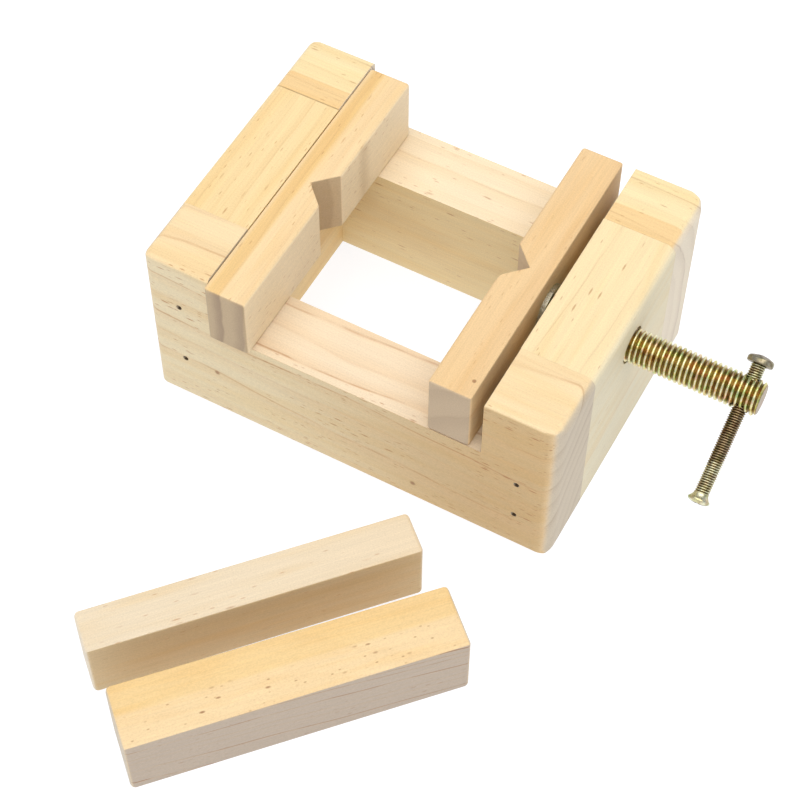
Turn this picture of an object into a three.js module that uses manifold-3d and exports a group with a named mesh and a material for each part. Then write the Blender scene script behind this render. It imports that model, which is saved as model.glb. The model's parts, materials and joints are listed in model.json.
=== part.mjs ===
// Wooden carving vise: an open box of two U-shaped side rails and two end blocks, two notched jaws
// that stand on the rails, a clamp screw with a sliding tommy bar, and two loose packing blocks.
// Units are millimetres and +Z is up. The origin lies on the bench, under the centre of the fixed
// end block, and +X runs along the clamp screw towards its free end.
import * as THREE from "three";
import { mergeVertices } from "three/addons/utils/BufferGeometryUtils.js";
import Module from "manifold-3d";

const wasm = await Module();
wasm.setup();

// Frame
const frameLength = 150;
const frameWidth = 110;
const frameHeight = 70;
const railThickness = 25;
const fixedBlockThickness = 25;
const screwBlockThickness = 26;
const frameCornerRadius = 6;
const frameEndEdgeRadius = 4;
const frameSideEdgeRadius = 2;
const frameBottomEdgeRadius = 1.5;
const seatCornerRadius = 1;

// Jaws and packing blocks; the thin block is cut from the jaws' own bar
const jawThickness = 15;
const jawHeight = 26;
const jawNotchDepth = 7.5;
const jawEdgeRadius = 1.2;
const jawLipRadius = 0.6;
const fixedJawSideShift = -2.8;
const movingJawBackGap = 4.5;
const thickPackingThickness = 22;
const thickPackingHeight = 27;
const packingEdgeRadius = 1.8;
const thinPackingPlace = { along: 65.6, fromFrame: 66.4, turn: 48.1 };
const thickPackingPlace = { along: 91.6, fromFrame: 86.5, turn: 47.6 };

// Brads
const bradShankDiameter = 1.3;
const bradHeadDiameter = 1.7;
const bradHeadThickness = 1;
const bradLength = 44;
const bradPointLength = 3;
const bradSetDepth = 1.5;
const fixedBlockBradHeights = [21, 49];
const screwBlockBradHeights = [17.5, 35];

// Clamp screw
const screwDiameter = 12;
const screwAxisAboveSeat = 9;
const screwProtrusion = 45;
const screwChamfer = 1;
const spigotDiameter = 6;
const spigotLand = 1.5;
const crossHoleToEnd = 5.3;

// Thrust plate with its pins and retaining clip
const plateThickness = 1.5;
const plateLand = 3.5;
const platePinDiameter = 1.4;
const platePinLength = 9;
const platePinTurns = [-40, 140];
const clipRim = 2;
const clipThickness = 1;
const clipGrooveDepth = 0.6;
const clipOpening = 70;

// Tee nut
const teeNutWall = 1.15;
const teeNutBarrelLength = 16;
const teeNutFlangeRim = 5.1;
const teeNutFlangeThickness = 1.5;
const clawCount = 4;
const clawLength = 7;
const clawWidth = 3;
const clawTipWidth = 1;
const clawThickness = 1.2;
const clawInset = 1.4;

// Tommy bar
const tommyBarDiameter = 5;
const tommyBarLength = 50;
const tommyBarTilt = 32;
const tommyBarLowReach = 38.2;
const tommyBarHeadDiameter = 7.4;
const tommyBarHeadHeight = 2.2;
const tommyBarRecessWidth = 0.9;
const tommyBarRecessSpan = 3.8;
const tommyBarRecessDepth = 1.3;
const capDiameter = 8.8;
const capHeight = 3.2;
const capSocketDepth = 2;

// Clearances
const jawClearance = 0.15;
const jawBackClearance = 0.3;
const bearingClearance = 0.1;
const fastenerClearance = 0.15;
const threadClearance = 0.25;
const crossHoleClearance = 0.2;
const screwHoleClearance = 0.6;
const counterboreClearance = 0.5;
const spigotEndClearance = 0.8;

// Facets
const cornerSegments = 5;
const roundSegments = 32;
const smallRoundSegments = 12;

// Planes and sizes that the pieces share
const jawSeatHeight = frameHeight - jawHeight;
const screwAxisHeight = jawSeatHeight + screwAxisAboveSeat;
const frameLeft = -fixedBlockThickness / 2;
const frameRight = frameLeft + frameLength;
const fixedBlockFace = frameLeft + fixedBlockThickness;
const screwBlockFace = frameRight - screwBlockThickness;
const nearFace = -frameWidth / 2;
const farFace = frameWidth / 2;
const nearRailInside = nearFace + railThickness;
const farRailInside = farFace - railThickness;
const jawBottom = jawSeatHeight + jawClearance;
const fixedJawBack = fixedBlockFace + jawBackClearance;
const movingJawBack = screwBlockFace - movingJawBackGap;
const plateOuterFace = movingJawBack + plateThickness;
const screwShoulder = plateOuterFace + bearingClearance;
const screwEnd = frameRight + screwProtrusion;
const crossHolePlace = screwEnd - crossHoleToEnd;
const clipFace = movingJawBack - bearingClearance;
const clipBack = clipFace - clipThickness;
const spigotEnd = clipBack - spigotLand;
const clipDiameter = spigotDiameter + 2 * clipRim;
const counterboreDiameter = clipDiameter + 2 * counterboreClearance;
const plateDiameter = counterboreDiameter + 2 * plateLand;
const platePinRadius = (counterboreDiameter + plateLand) / 2;
const teeNutFace = screwBlockFace + fastenerClearance;
const teeNutSeat = teeNutFace + teeNutFlangeThickness;
const teeNutEnd = teeNutSeat + teeNutBarrelLength;
const teeNutBoreDiameter = screwDiameter + 2 * threadClearance;
const teeNutBarrelDiameter = teeNutBoreDiameter + 2 * teeNutWall;
const teeNutFlangeDiameter = teeNutBarrelDiameter + 2 * teeNutFlangeRim;

// A closed geometry as a solid that can be joined and cut.
function solidOf(geometry) {
  geometry.deleteAttribute("normal");
  geometry.deleteAttribute("uv");
  const merged = mergeVertices(geometry);
  const mesh = new wasm.Mesh({
    numProp: 3,
    vertProperties: merged.attributes.position.array,
    triVerts: new Uint32Array(merged.index.array),
  });
  return new wasm.Manifold(mesh);
}

function geometryOf(solid) {
  const { vertProperties, triVerts } = solid.getMesh();
  const geometry = new THREE.BufferGeometry();
  geometry.setAttribute("position", new THREE.BufferAttribute(vertProperties, 3));
  geometry.setIndex(new THREE.BufferAttribute(triVerts, 1));
  geometry.computeVertexNormals();
  return geometry;
}

// A closed outline through corners given as [x, y, fillet radius]; the radius may be left out.
function filletedOutline(corners) {
  const outline = new THREE.Shape();
  corners.forEach(([x, y, radius = 0], index) => {
    const corner = new THREE.Vector2(x, y);
    const before = new THREE.Vector2(...corners.at(index - 1));
    const after = new THREE.Vector2(...corners[(index + 1) % corners.length]);
    const toBefore = before.sub(corner).normalize();
    const toAfter = after.sub(corner).normalize();
    const halfAngle = Math.acos(toBefore.dot(toAfter)) / 2;
    const inset = radius / Math.tan(halfAngle);
    const start = toBefore.clone().multiplyScalar(inset).add(corner);
    const end = toAfter.clone().multiplyScalar(inset).add(corner);
    if (index === 0) outline.moveTo(start.x, start.y);
    else outline.lineTo(start.x, start.y);
    if (radius === 0) return;
    const toCentre = toBefore.clone().add(toAfter).setLength(radius / Math.sin(halfAngle));
    const centre = toCentre.add(corner);
    const startAngle = start.sub(centre).angle();
    const endAngle = end.sub(centre).angle();
    const clockwise = toBefore.cross(toAfter) > 0;
    outline.absarc(centre.x, centre.y, radius, startAngle, endAngle, clockwise);
  });
  return outline;
}

function rectangle(left, bottom, right, top, bottomRadius, topRadius = bottomRadius) {
  return filletedOutline([
    [left, bottom, bottomRadius],
    [right, bottom, bottomRadius],
    [right, top, topRadius],
    [left, top, topRadius],
  ]);
}

const X_AXIS = new THREE.Vector3(1, 0, 0);
const Y_AXIS = new THREE.Vector3(0, 1, 0);
const Z_AXIS = new THREE.Vector3(0, 0, 1);

function prism(outline, basis, depth, position) {
  const geometry = new THREE.ExtrudeGeometry(outline, {
    depth,
    bevelEnabled: false,
    curveSegments: cornerSegments,
  });
  return solidOf(geometry.applyMatrix4(basis.setPosition(position)));
}

// An outline in X and Y, raised from one height to another.
function planPrism(outline, bottom, top) {
  const basis = new THREE.Matrix4().makeBasis(X_AXIS, Y_AXIS, Z_AXIS);
  return prism(outline, basis, top - bottom, new THREE.Vector3(0, 0, bottom));
}

// An outline in X and Z, carried across from its near to its far side.
function sidePrism(outline, near, far) {
  const basis = new THREE.Matrix4().makeBasis(X_AXIS, Z_AXIS, Y_AXIS.clone().negate());
  return prism(outline, basis, far - near, new THREE.Vector3(0, far, 0));
}

// An outline in Y and Z, carried along from its left to its right end.
function endPrism(outline, left, right) {
  const basis = new THREE.Matrix4().makeBasis(Y_AXIS, Z_AXIS, X_AXIS);
  return prism(outline, basis, right - left, new THREE.Vector3(left, 0, 0));
}

// A turned solid on a line parallel to X at the clamp screw's height, from [x, radius] points.
function turnedOnScrewAxis(profile, segments = roundSegments) {
  const points = profile.map(([x, radius]) => new THREE.Vector2(radius, x));
  const geometry = new THREE.LatheGeometry(points, segments);
  geometry.rotateZ(-Math.PI / 2);
  geometry.translate(0, 0, screwAxisHeight);
  return solidOf(geometry);
}

function discOnScrewAxis(left, right, diameter, segments = roundSegments) {
  const radius = diameter / 2;
  const profile = [
    [left, 0],
    [left, radius],
    [right, radius],
    [right, 0],
  ];
  return turnedOnScrewAxis(profile, segments);
}

const vise = new THREE.Group();

function addPiece(name, solid, colour, roughness, metalness, parent = vise) {
  const material = new THREE.MeshStandardMaterial({ color: colour, roughness, metalness });
  const mesh = new THREE.Mesh(geometryOf(solid), material);
  mesh.name = name;
  parent.add(mesh);
}

function addWood(name, solid, colour) {
  addPiece(name, solid, colour, 0.65, 0);
}

function addMetal(name, solid, colour, parent = vise) {
  addPiece(name, solid, colour, 0.35, 1, parent);
}

// One brad driven inwards from a side face: a shank with a small head below the wood's surface.
function bradProfile(growth) {
  const shank = bradShankDiameter / 2 + growth;
  const head = bradHeadDiameter / 2 + growth;
  const headTop = growth > 0 ? bradSetDepth : 0;
  return [
    new THREE.Vector2(0, -bradLength - growth),
    new THREE.Vector2(shank, -bradLength + bradPointLength - growth),
    new THREE.Vector2(shank, -bradHeadThickness - growth),
    new THREE.Vector2(head, -bradHeadThickness - growth),
    new THREE.Vector2(head, headTop),
    new THREE.Vector2(0, headTop),
  ];
}

const bradPlaces = [];
for (const [end, x, heights] of [
  ["fixed_end", (frameLeft + fixedBlockFace) / 2, fixedBlockBradHeights],
  ["screw_end", (frameRight + screwBlockFace) / 2, screwBlockBradHeights],
]) {
  for (const [side, outward] of [
    ["near", -1],
    ["far", 1],
  ]) {
    heights.forEach((z, index) => {
      bradPlaces.push({ name: `brad_${end}_${side}_${index + 1}`, x, z, outward });
    });
  }
}

function bradSolid({ x, z, outward }, growth = 0) {
  const geometry = new THREE.LatheGeometry(bradProfile(growth), smallRoundSegments);
  if (outward < 0) geometry.rotateZ(Math.PI);
  geometry.translate(x, outward * (frameWidth / 2 - bradSetDepth), z);
  return solidOf(geometry);
}

function cutBradHoles(solid) {
  return bradPlaces.reduce(
    (rest, place) => rest.subtract(bradSolid(place, fastenerClearance)),
    solid,
  );
}

// The whole frame's outer form, rounded over after assembly.
function frameEnvelope() {
  const plan = rectangle(frameLeft, nearFace, frameRight, farFace, frameCornerRadius);
  const side = rectangle(
    frameLeft,
    0,
    frameRight,
    frameHeight,
    frameBottomEdgeRadius,
    frameEndEdgeRadius,
  );
  const end = rectangle(
    nearFace,
    0,
    farFace,
    frameHeight,
    frameBottomEdgeRadius,
    frameSideEdgeRadius,
  );
  return planPrism(plan, 0, frameHeight)
    .intersect(sidePrism(side, nearFace, farFace))
    .intersect(endPrism(end, frameLeft, frameRight));
}

function railOutline() {
  return filletedOutline([
    [frameLeft, 0],
    [frameRight, 0],
    [frameRight, frameHeight],
    [screwBlockFace, frameHeight, jawLipRadius],
    [screwBlockFace, jawSeatHeight, seatCornerRadius],
    [fixedBlockFace, jawSeatHeight, seatCornerRadius],
    [fixedBlockFace, frameHeight, jawLipRadius],
    [frameLeft, frameHeight],
  ]);
}

function railSolid(near, far) {
  const blank = frameEnvelope().intersect(sidePrism(railOutline(), near, far));
  return cutBradHoles(blank);
}

function endBlockSolid(left, right, insideFace) {
  const corners = [left, right].map((x) => (x === insideFace ? jawLipRadius : 0));
  const outline = filletedOutline([
    [left, 0],
    [right, 0],
    [right, frameHeight, corners[1]],
    [left, frameHeight, corners[0]],
  ]);
  const blank = frameEnvelope().intersect(sidePrism(outline, nearRailInside, farRailInside));
  return cutBradHoles(blank);
}

// One claw of the tee nut, on its own side of the barrel.
function clawSolid(turn, growth = 0) {
  const outer = teeNutFlangeDiameter / 2 - clawInset + growth;
  const inner = outer - clawThickness - 2 * growth;
  const root = clawWidth / 2 + growth;
  const tip = clawTipWidth / 2 + growth;
  const reach = teeNutSeat + clawLength + growth;
  const outline = new THREE.Shape([
    new THREE.Vector2(teeNutSeat - teeNutFlangeThickness / 2, -root),
    new THREE.Vector2(reach, -tip),
    new THREE.Vector2(reach, tip),
    new THREE.Vector2(teeNutSeat - teeNutFlangeThickness / 2, root),
  ]);
  const geometry = new THREE.ExtrudeGeometry(outline, {
    depth: outer - inner,
    bevelEnabled: false,
  });
  geometry.translate(0, 0, inner);
  geometry.rotateX(THREE.MathUtils.degToRad(turn));
  geometry.translate(0, 0, screwAxisHeight);
  return solidOf(geometry);
}

const clawTurns = Array.from({ length: clawCount }, (_, index) => 45 + (index * 360) / clawCount);

function teeNutSolid() {
  const flange = discOnScrewAxis(teeNutFace, teeNutSeat, teeNutFlangeDiameter);
  const barrel = discOnScrewAxis(teeNutFace, teeNutEnd, teeNutBarrelDiameter);
  const bore = discOnScrewAxis(teeNutFace - 1, teeNutEnd + 1, teeNutBoreDiameter);
  const claws = clawTurns.map((turn) => clawSolid(turn));
  return claws.reduce((nut, claw) => nut.add(claw), flange.add(barrel)).subtract(bore);
}

function screwEndBlockSolid() {
  const flangeSeat = discOnScrewAxis(
    screwBlockFace - 1,
    teeNutSeat + fastenerClearance,
    teeNutFlangeDiameter + 2 * fastenerClearance,
  );
  const barrelHole = discOnScrewAxis(
    screwBlockFace - 1,
    teeNutEnd + fastenerClearance,
    teeNutBarrelDiameter + 2 * fastenerClearance,
  );
  const screwHole = discOnScrewAxis(
    screwBlockFace - 1,
    frameRight + 1,
    screwDiameter + 2 * screwHoleClearance,
  );
  const cuts = clawTurns.map((turn) => clawSolid(turn, fastenerClearance));
  return [flangeSeat, barrelHole, screwHole, ...cuts].reduce(
    (block, cut) => block.subtract(cut),
    endBlockSolid(screwBlockFace, frameRight, screwBlockFace),
  );
}

// A jaw bar whose front face, with the notch at mid-length, looks along +X or -X.
function jawSolid(back, facing, sideShift) {
  const front = back + facing * jawThickness;
  const halfLength = frameWidth / 2;
  const notchFloor = front - facing * jawNotchDepth;
  const plan = filletedOutline([
    [back, sideShift - halfLength, jawEdgeRadius],
    [front, sideShift - halfLength, jawEdgeRadius],
    [front, sideShift - jawNotchDepth, jawLipRadius],
    [notchFloor, sideShift],
    [front, sideShift + jawNotchDepth, jawLipRadius],
    [front, sideShift + halfLength, jawEdgeRadius],
    [back, sideShift + halfLength, jawEdgeRadius],
  ]);
  const left = Math.min(back, front);
  const right = Math.max(back, front);
  const near = sideShift - halfLength;
  const far = sideShift + halfLength;
  const side = rectangle(left, jawBottom, right, frameHeight, jawEdgeRadius);
  const end = rectangle(near, jawBottom, far, frameHeight, jawEdgeRadius);
  return planPrism(plan, jawBottom, frameHeight)
    .intersect(sidePrism(side, near, far))
    .intersect(endPrism(end, left, right));
}

function platePinSolid(turn, growth = 0) {
  const radius = platePinDiameter / 2 + growth;
  const angle = THREE.MathUtils.degToRad(turn);
  const length = platePinLength + growth;
  const geometry = new THREE.CylinderGeometry(radius, radius, length, smallRoundSegments);
  geometry.rotateZ(Math.PI / 2);
  geometry.translate(
    plateOuterFace - length / 2 + growth,
    platePinRadius * Math.cos(angle),
    screwAxisHeight + platePinRadius * Math.sin(angle),
  );
  return solidOf(geometry);
}

function cutPlatePinHoles(solid) {
  return platePinTurns.reduce(
    (rest, turn) => rest.subtract(platePinSolid(turn, fastenerClearance)),
    solid,
  );
}

function movingJawSolid() {
  const counterbore = discOnScrewAxis(
    spigotEnd - spigotEndClearance,
    movingJawBack + 1,
    counterboreDiameter,
  );
  return cutPlatePinHoles(jawSolid(movingJawBack, -1, 0).subtract(counterbore));
}

function thrustPlateSolid() {
  const disc = discOnScrewAxis(movingJawBack, plateOuterFace, plateDiameter);
  const hole = discOnScrewAxis(
    movingJawBack - 1,
    plateOuterFace + 1,
    spigotDiameter + 2 * threadClearance,
  );
  return cutPlatePinHoles(disc.subtract(hole));
}

function clampScrewSolid() {
  const spigot = spigotDiameter / 2;
  const groove = spigot - clipGrooveDepth;
  const radius = screwDiameter / 2;
  const grooveRight = clipFace + bearingClearance / 2;
  const grooveLeft = clipBack - bearingClearance / 2;
  const blank = turnedOnScrewAxis([
    [spigotEnd, 0],
    [spigotEnd, spigot],
    [grooveLeft, spigot],
    [grooveLeft, groove],
    [grooveRight, groove],
    [grooveRight, spigot],
    [screwShoulder, spigot],
    [screwShoulder, radius - screwChamfer],
    [screwShoulder + screwChamfer, radius],
    [screwEnd - screwChamfer, radius],
    [screwEnd, radius - screwChamfer],
    [screwEnd, 0],
  ]);
  const holeRadius = tommyBarDiameter / 2 + crossHoleClearance;
  const hole = new THREE.CylinderGeometry(
    holeRadius,
    holeRadius,
    2 * screwDiameter,
    roundSegments,
  );
  hole.rotateX(THREE.MathUtils.degToRad(tommyBarTilt));
  hole.translate(crossHolePlace, 0, screwAxisHeight);
  return blank.subtract(solidOf(hole));
}

// An open ring in the spigot's groove, behind the thrust plate.
function retainingClipSolid() {
  const halfOpening = THREE.MathUtils.degToRad(clipOpening / 2);
  const outer = clipDiameter / 2;
  const inner = spigotDiameter / 2 - clipGrooveDepth + bearingClearance;
  const outline = new THREE.Shape();
  outline.absarc(0, 0, outer, halfOpening, 2 * Math.PI - halfOpening, false);
  outline.absarc(0, 0, inner, 2 * Math.PI - halfOpening, halfOpening, true);
  const geometry = new THREE.ExtrudeGeometry(outline, {
    depth: clipThickness,
    bevelEnabled: false,
    curveSegments: roundSegments,
  });
  geometry.rotateY(Math.PI / 2);
  geometry.translate(clipBack, 0, screwAxisHeight);
  return solidOf(geometry);
}

// The tommy bar and its cap, along their own Y axis with the cap at the positive end.
function tommyBarSolid() {
  const shank = tommyBarDiameter / 2;
  const low = -tommyBarLowReach;
  const blank = new THREE.LatheGeometry(
    [
      new THREE.Vector2(0, low),
      new THREE.Vector2(tommyBarHeadDiameter / 2, low),
      new THREE.Vector2(tommyBarHeadDiameter / 2, low + tommyBarHeadHeight / 6),
      new THREE.Vector2(shank, low + tommyBarHeadHeight),
      new THREE.Vector2(shank, low + tommyBarLength),
      new THREE.Vector2(0, low + tommyBarLength),
    ],
    roundSegments,
  );
  const slots = [0, Math.PI / 2].map((turn) => {
    const slot = new THREE.BoxGeometry(
      tommyBarRecessSpan,
      2 * tommyBarRecessDepth,
      tommyBarRecessWidth,
    );
    slot.rotateY(turn);
    slot.translate(0, low, 0);
    return solidOf(slot);
  });
  return slots.reduce((bar, slot) => bar.subtract(slot), solidOf(blank));
}

function tommyBarCapSolid() {
  const top = tommyBarLength - tommyBarLowReach + fastenerClearance;
  const bottom = top - capSocketDepth;
  const radius = capDiameter / 2;
  const socket = tommyBarDiameter / 2 + fastenerClearance;
  const wallHeight = capHeight / 2;
  const dome = capHeight - wallHeight;
  const profile = [new THREE.Vector2(0, top), new THREE.Vector2(socket, top)];
  profile.push(new THREE.Vector2(socket, bottom), new THREE.Vector2(radius, bottom));
  for (let step = 0; step <= cornerSegments; step += 1) {
    const angle = (step / cornerSegments) * (Math.PI / 2);
    const y = bottom + wallHeight + dome * Math.sin(angle);
    const x = step === cornerSegments ? 0 : radius * Math.cos(angle);
    profile.push(new THREE.Vector2(x, y));
  }
  return solidOf(new THREE.LatheGeometry(profile, roundSegments));
}

// A loose packing block lying on the bench, turned about its own centre.
function packingSolid(thickness, height, { along, fromFrame, turn }) {
  const halfLength = frameWidth / 2;
  const half = thickness / 2;
  const plan = rectangle(-halfLength, -half, halfLength, half, packingEdgeRadius);
  const side = rectangle(-halfLength, 0, halfLength, height, packingEdgeRadius);
  const end = rectangle(-half, 0, half, height, packingEdgeRadius / 2);
  const block = planPrism(plan, 0, height)
    .intersect(sidePrism(side, -half, half))
    .intersect(endPrism(end, -halfLength, halfLength));
  const placed = geometryOf(block);
  placed.rotateZ(THREE.MathUtils.degToRad(turn));
  placed.translate(along, nearFace - fromFrame, 0);
  return solidOf(placed);
}

function thinPackingSolid() {
  return packingSolid(jawThickness, jawHeight, thinPackingPlace);
}

function thickPackingSolid() {
  return packingSolid(thickPackingThickness, thickPackingHeight, thickPackingPlace);
}

addWood("near_side_rail", railSolid(nearFace, nearRailInside), 0xe3cb9c);
addWood("far_side_rail", railSolid(farRailInside, farFace), 0xe6cfa2);
addWood("fixed_end_block", endBlockSolid(frameLeft, fixedBlockFace, fixedBlockFace), 0xf3dfae);
addWood("screw_end_block", screwEndBlockSolid(), 0xf5e4b8);
addWood("fixed_side_jaw", jawSolid(fixedJawBack, 1, fixedJawSideShift), 0xedcf9f);
addWood("moving_jaw", movingJawSolid(), 0xefd0a0);
addWood("thin_packing_block", thinPackingSolid(), 0xf0dabb);
addWood("thick_packing_block", thickPackingSolid(), 0xf3d598);

for (const place of bradPlaces) {
  addMetal(place.name, bradSolid(place), 0x4a4036);
}

addMetal("tee_nut", teeNutSolid(), 0xb9bcbc);
addMetal("thrust_plate", thrustPlateSolid(), 0xc4c6c0);
platePinTurns.forEach((turn, index) => {
  addMetal(`plate_pin_${index + 1}`, platePinSolid(turn), 0xb0b2ae);
});
addMetal("clamp_screw", clampScrewSolid(), 0xb5a55e);
addMetal("retaining_clip", retainingClipSolid(), 0x5c5c5c);

const tommyBarGroup = new THREE.Group();
tommyBarGroup.position.set(crossHolePlace, 0, screwAxisHeight);
tommyBarGroup.rotation.x = THREE.MathUtils.degToRad(tommyBarTilt);
vise.add(tommyBarGroup);
addMetal("tommy_bar", tommyBarSolid(), 0x8f8560, tommyBarGroup);
addMetal("tommy_bar_cap", tommyBarCapSolid(), 0x8d8468, tommyBarGroup);

export default vise;
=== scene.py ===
"""Wooden carving vise: the visible pieces and their finishes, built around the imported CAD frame.

Sizes are written in millimetres and turned to metres where a mesh is made. Places come from the
frame's own nodes and joints.
"""

import json
import logging
import math
import random
from collections.abc import Callable, Iterable, Sequence
from dataclasses import dataclass, replace
from enum import Enum
from functools import partial

import bmesh
import bpy
from mathutils import Matrix, Vector


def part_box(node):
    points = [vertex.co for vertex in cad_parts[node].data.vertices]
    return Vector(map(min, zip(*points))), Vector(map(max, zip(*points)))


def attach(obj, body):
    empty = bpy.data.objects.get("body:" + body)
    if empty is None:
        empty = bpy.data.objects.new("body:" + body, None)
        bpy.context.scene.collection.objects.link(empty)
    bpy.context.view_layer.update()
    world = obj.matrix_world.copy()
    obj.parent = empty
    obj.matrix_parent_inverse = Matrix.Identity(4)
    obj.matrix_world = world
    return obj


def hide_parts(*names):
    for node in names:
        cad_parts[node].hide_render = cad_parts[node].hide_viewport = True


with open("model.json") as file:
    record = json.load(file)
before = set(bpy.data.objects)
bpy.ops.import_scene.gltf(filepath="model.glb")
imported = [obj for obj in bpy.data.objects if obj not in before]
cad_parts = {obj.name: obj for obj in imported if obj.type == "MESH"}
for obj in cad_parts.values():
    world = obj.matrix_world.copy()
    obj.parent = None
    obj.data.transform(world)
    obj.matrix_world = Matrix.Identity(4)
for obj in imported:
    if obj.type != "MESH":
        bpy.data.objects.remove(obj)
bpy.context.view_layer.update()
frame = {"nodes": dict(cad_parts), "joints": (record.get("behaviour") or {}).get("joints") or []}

MM = 0.001
TINY = 0.01 * MM
FAR = 1000.0
LOG = logging.getLogger("carving_vise")

Piece = bpy.types.Object
Work = bmesh.types.BMesh
Socket = bpy.types.NodeSocket
Adder = Callable[..., Socket]
Colour = tuple[float, float, float, float]
Place = tuple[float, float, float]

# The mix node's colour sockets, which share their names with its sockets for numbers.
UNDER, OVER, MIXED = 6, 7, 2


class Grain(Enum):
    """The axis of a piece's own frame that its wood fibres follow."""

    X = 0
    Y = 1


class Change(Enum):
    """How a zone's colour changes the wood under it, whether the zone is other wood or painted light."""

    STAIN = "MULTIPLY"
    COVER = "MIX"


class Ends(Enum):
    """How a zone's share rises and falls at its ends."""

    STRAIGHT = "LINEAR"
    SOFT = "SMOOTHSTEP"


class Plane(Enum):
    """The plane that an outline is drawn in before it is raised into a solid."""

    PLAN = (0, 1, 2)
    SIDE = (0, 2, 1)


def linear(sheet: str) -> Colour:
    """Turns a colour from a sample sheet into scene-linear light.

    Args:
        sheet: the colour as an sRGB hex value, such as "#E1CBA0".

    Returns:
        Red, green and blue as linear shares, with full alpha.
    """
    shares = [int(sheet[place : place + 2], 16) / 255 for place in (1, 3, 5)]
    light = [s / 12.92 if s <= 0.04045 else ((s + 0.055) / 1.055) ** 2.4 for s in shares]
    return (light[0], light[1], light[2], 1.0)


def add_node(
    tree: bpy.types.NodeTree, kind: str, inputs: dict, output: int | str = 0, **settings: object
) -> Socket:
    """Adds one shader node with its settings and links.

    Args:
        tree: the node tree that takes the node.
        kind: the node's type after "ShaderNode", such as "Math".
        inputs: what each input socket takes, by name or index: a constant or another node's output.
        output: the name or index of the output wanted.
        settings: values for the node's own options, by name.

    Returns:
        That output socket.
    """
    node = tree.nodes.new(f"ShaderNode{kind}")
    for name, value in settings.items():
        setattr(node, name, value)
    for name, value in inputs.items():
        if isinstance(value, Socket):
            tree.links.new(value, node.inputs[name])
        else:
            node.inputs[name].default_value = value
    return node.outputs[output]


def new_material(name: str) -> tuple[bpy.types.Material, Adder]:
    """Makes a material with nothing in it.

    Args:
        name: the material's name.

    Returns:
        The material, and what adds a node to it.
    """
    material = bpy.data.materials.new(name)
    material.use_nodes = True
    material.node_tree.nodes.clear()
    return material, partial(add_node, material.node_tree)


def finish_surface(add: Adder, inputs: dict) -> None:
    """Ends a material in one principled surface.

    Args:
        add: adds a node to the material.
        inputs: what the surface's sockets take, by name.
    """
    surface = add("BsdfPrincipled", inputs)
    tree = surface.id_data
    ending = tree.nodes.new("ShaderNodeOutputMaterial")
    tree.links.new(surface, ending.inputs["Surface"])


def surface_place(add: Adder) -> tuple[Socket, Sequence[Socket]]:
    """Finds the surface point in the piece's own frame, in mm.

    Args:
        add: adds a node to the material.

    Returns:
        The point, and its three coordinates.
    """
    place = add("VectorMath", {0: add("TexCoord", {}, "Object"), "Scale": 1 / MM}, operation="SCALE")
    return place, add("SeparateXYZ", {0: place}).node.outputs


def between(
    add: Adder, value: Socket, start: float, stop: float, blur: float, share: float | Socket, ends: Ends
) -> Socket:
    """Gives a zone's share where a value lies between the zone's two ends, and 0 elsewhere.

    Args:
        add: adds a node to the material.
        value: the value.
        start: the zone's lower end.
        stop: its upper end.
        blur: half the width of each end's ramp.
        share: the share inside the zone.
        ends: the ramps' shape.

    Returns:
        The share.
    """
    for edge, ramp in ((start, blur), (stop, -blur)):
        share = add(
            "MapRange", {"Value": value, "From Min": edge - ramp, "From Max": edge + ramp, "To Max": share},
            interpolation_type=ends.value
        )
    return share


def turned_along(add: Adder, face: Socket, share: float | Socket) -> Socket:
    """Limits a zone to the faces that look one way or the other along one axis.

    Args:
        add: adds a node to the material.
        face: the face direction's share along that axis.
        share: the zone's share so far.

    Returns:
        The share, which is 0 on the other faces.
    """
    turn = add("Math", {0: face}, operation="ABSOLUTE")
    return add("MapRange", {"Value": turn, "From Min": 0.6, "From Max": 0.95, "To Max": share})


# Finishes


@dataclass(frozen=True)
class PinKnotOrHoleShade:
    """A small dark round spot in the wood: a pin knot, or the painted shade inside a brad's hole.

    Its place is in the piece's own frame, in mm. It is dark inside its core and fades out at its
    radius.
    """

    place: Place
    radius: float = 1.4
    core: float = 0.4
    share: float = 0.75
    colour: str = "#8A5A33"


@dataclass(frozen=True)
class Stripe:
    """A zone of other wood, or of painted light and shade, between two places on one axis, in mm.

    It may lean, as a growth ring does, so that it moves along its axis with the height; and it
    may show only on the faces that look along one axis.
    """

    axis: int
    start: float
    stop: float
    colour: str
    blur: float = 0.8
    lean: float = 0.0
    lean_from: float = 70.0
    facing: int | None = None
    change: Change = Change.STAIN
    share: float = 1.0


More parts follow.
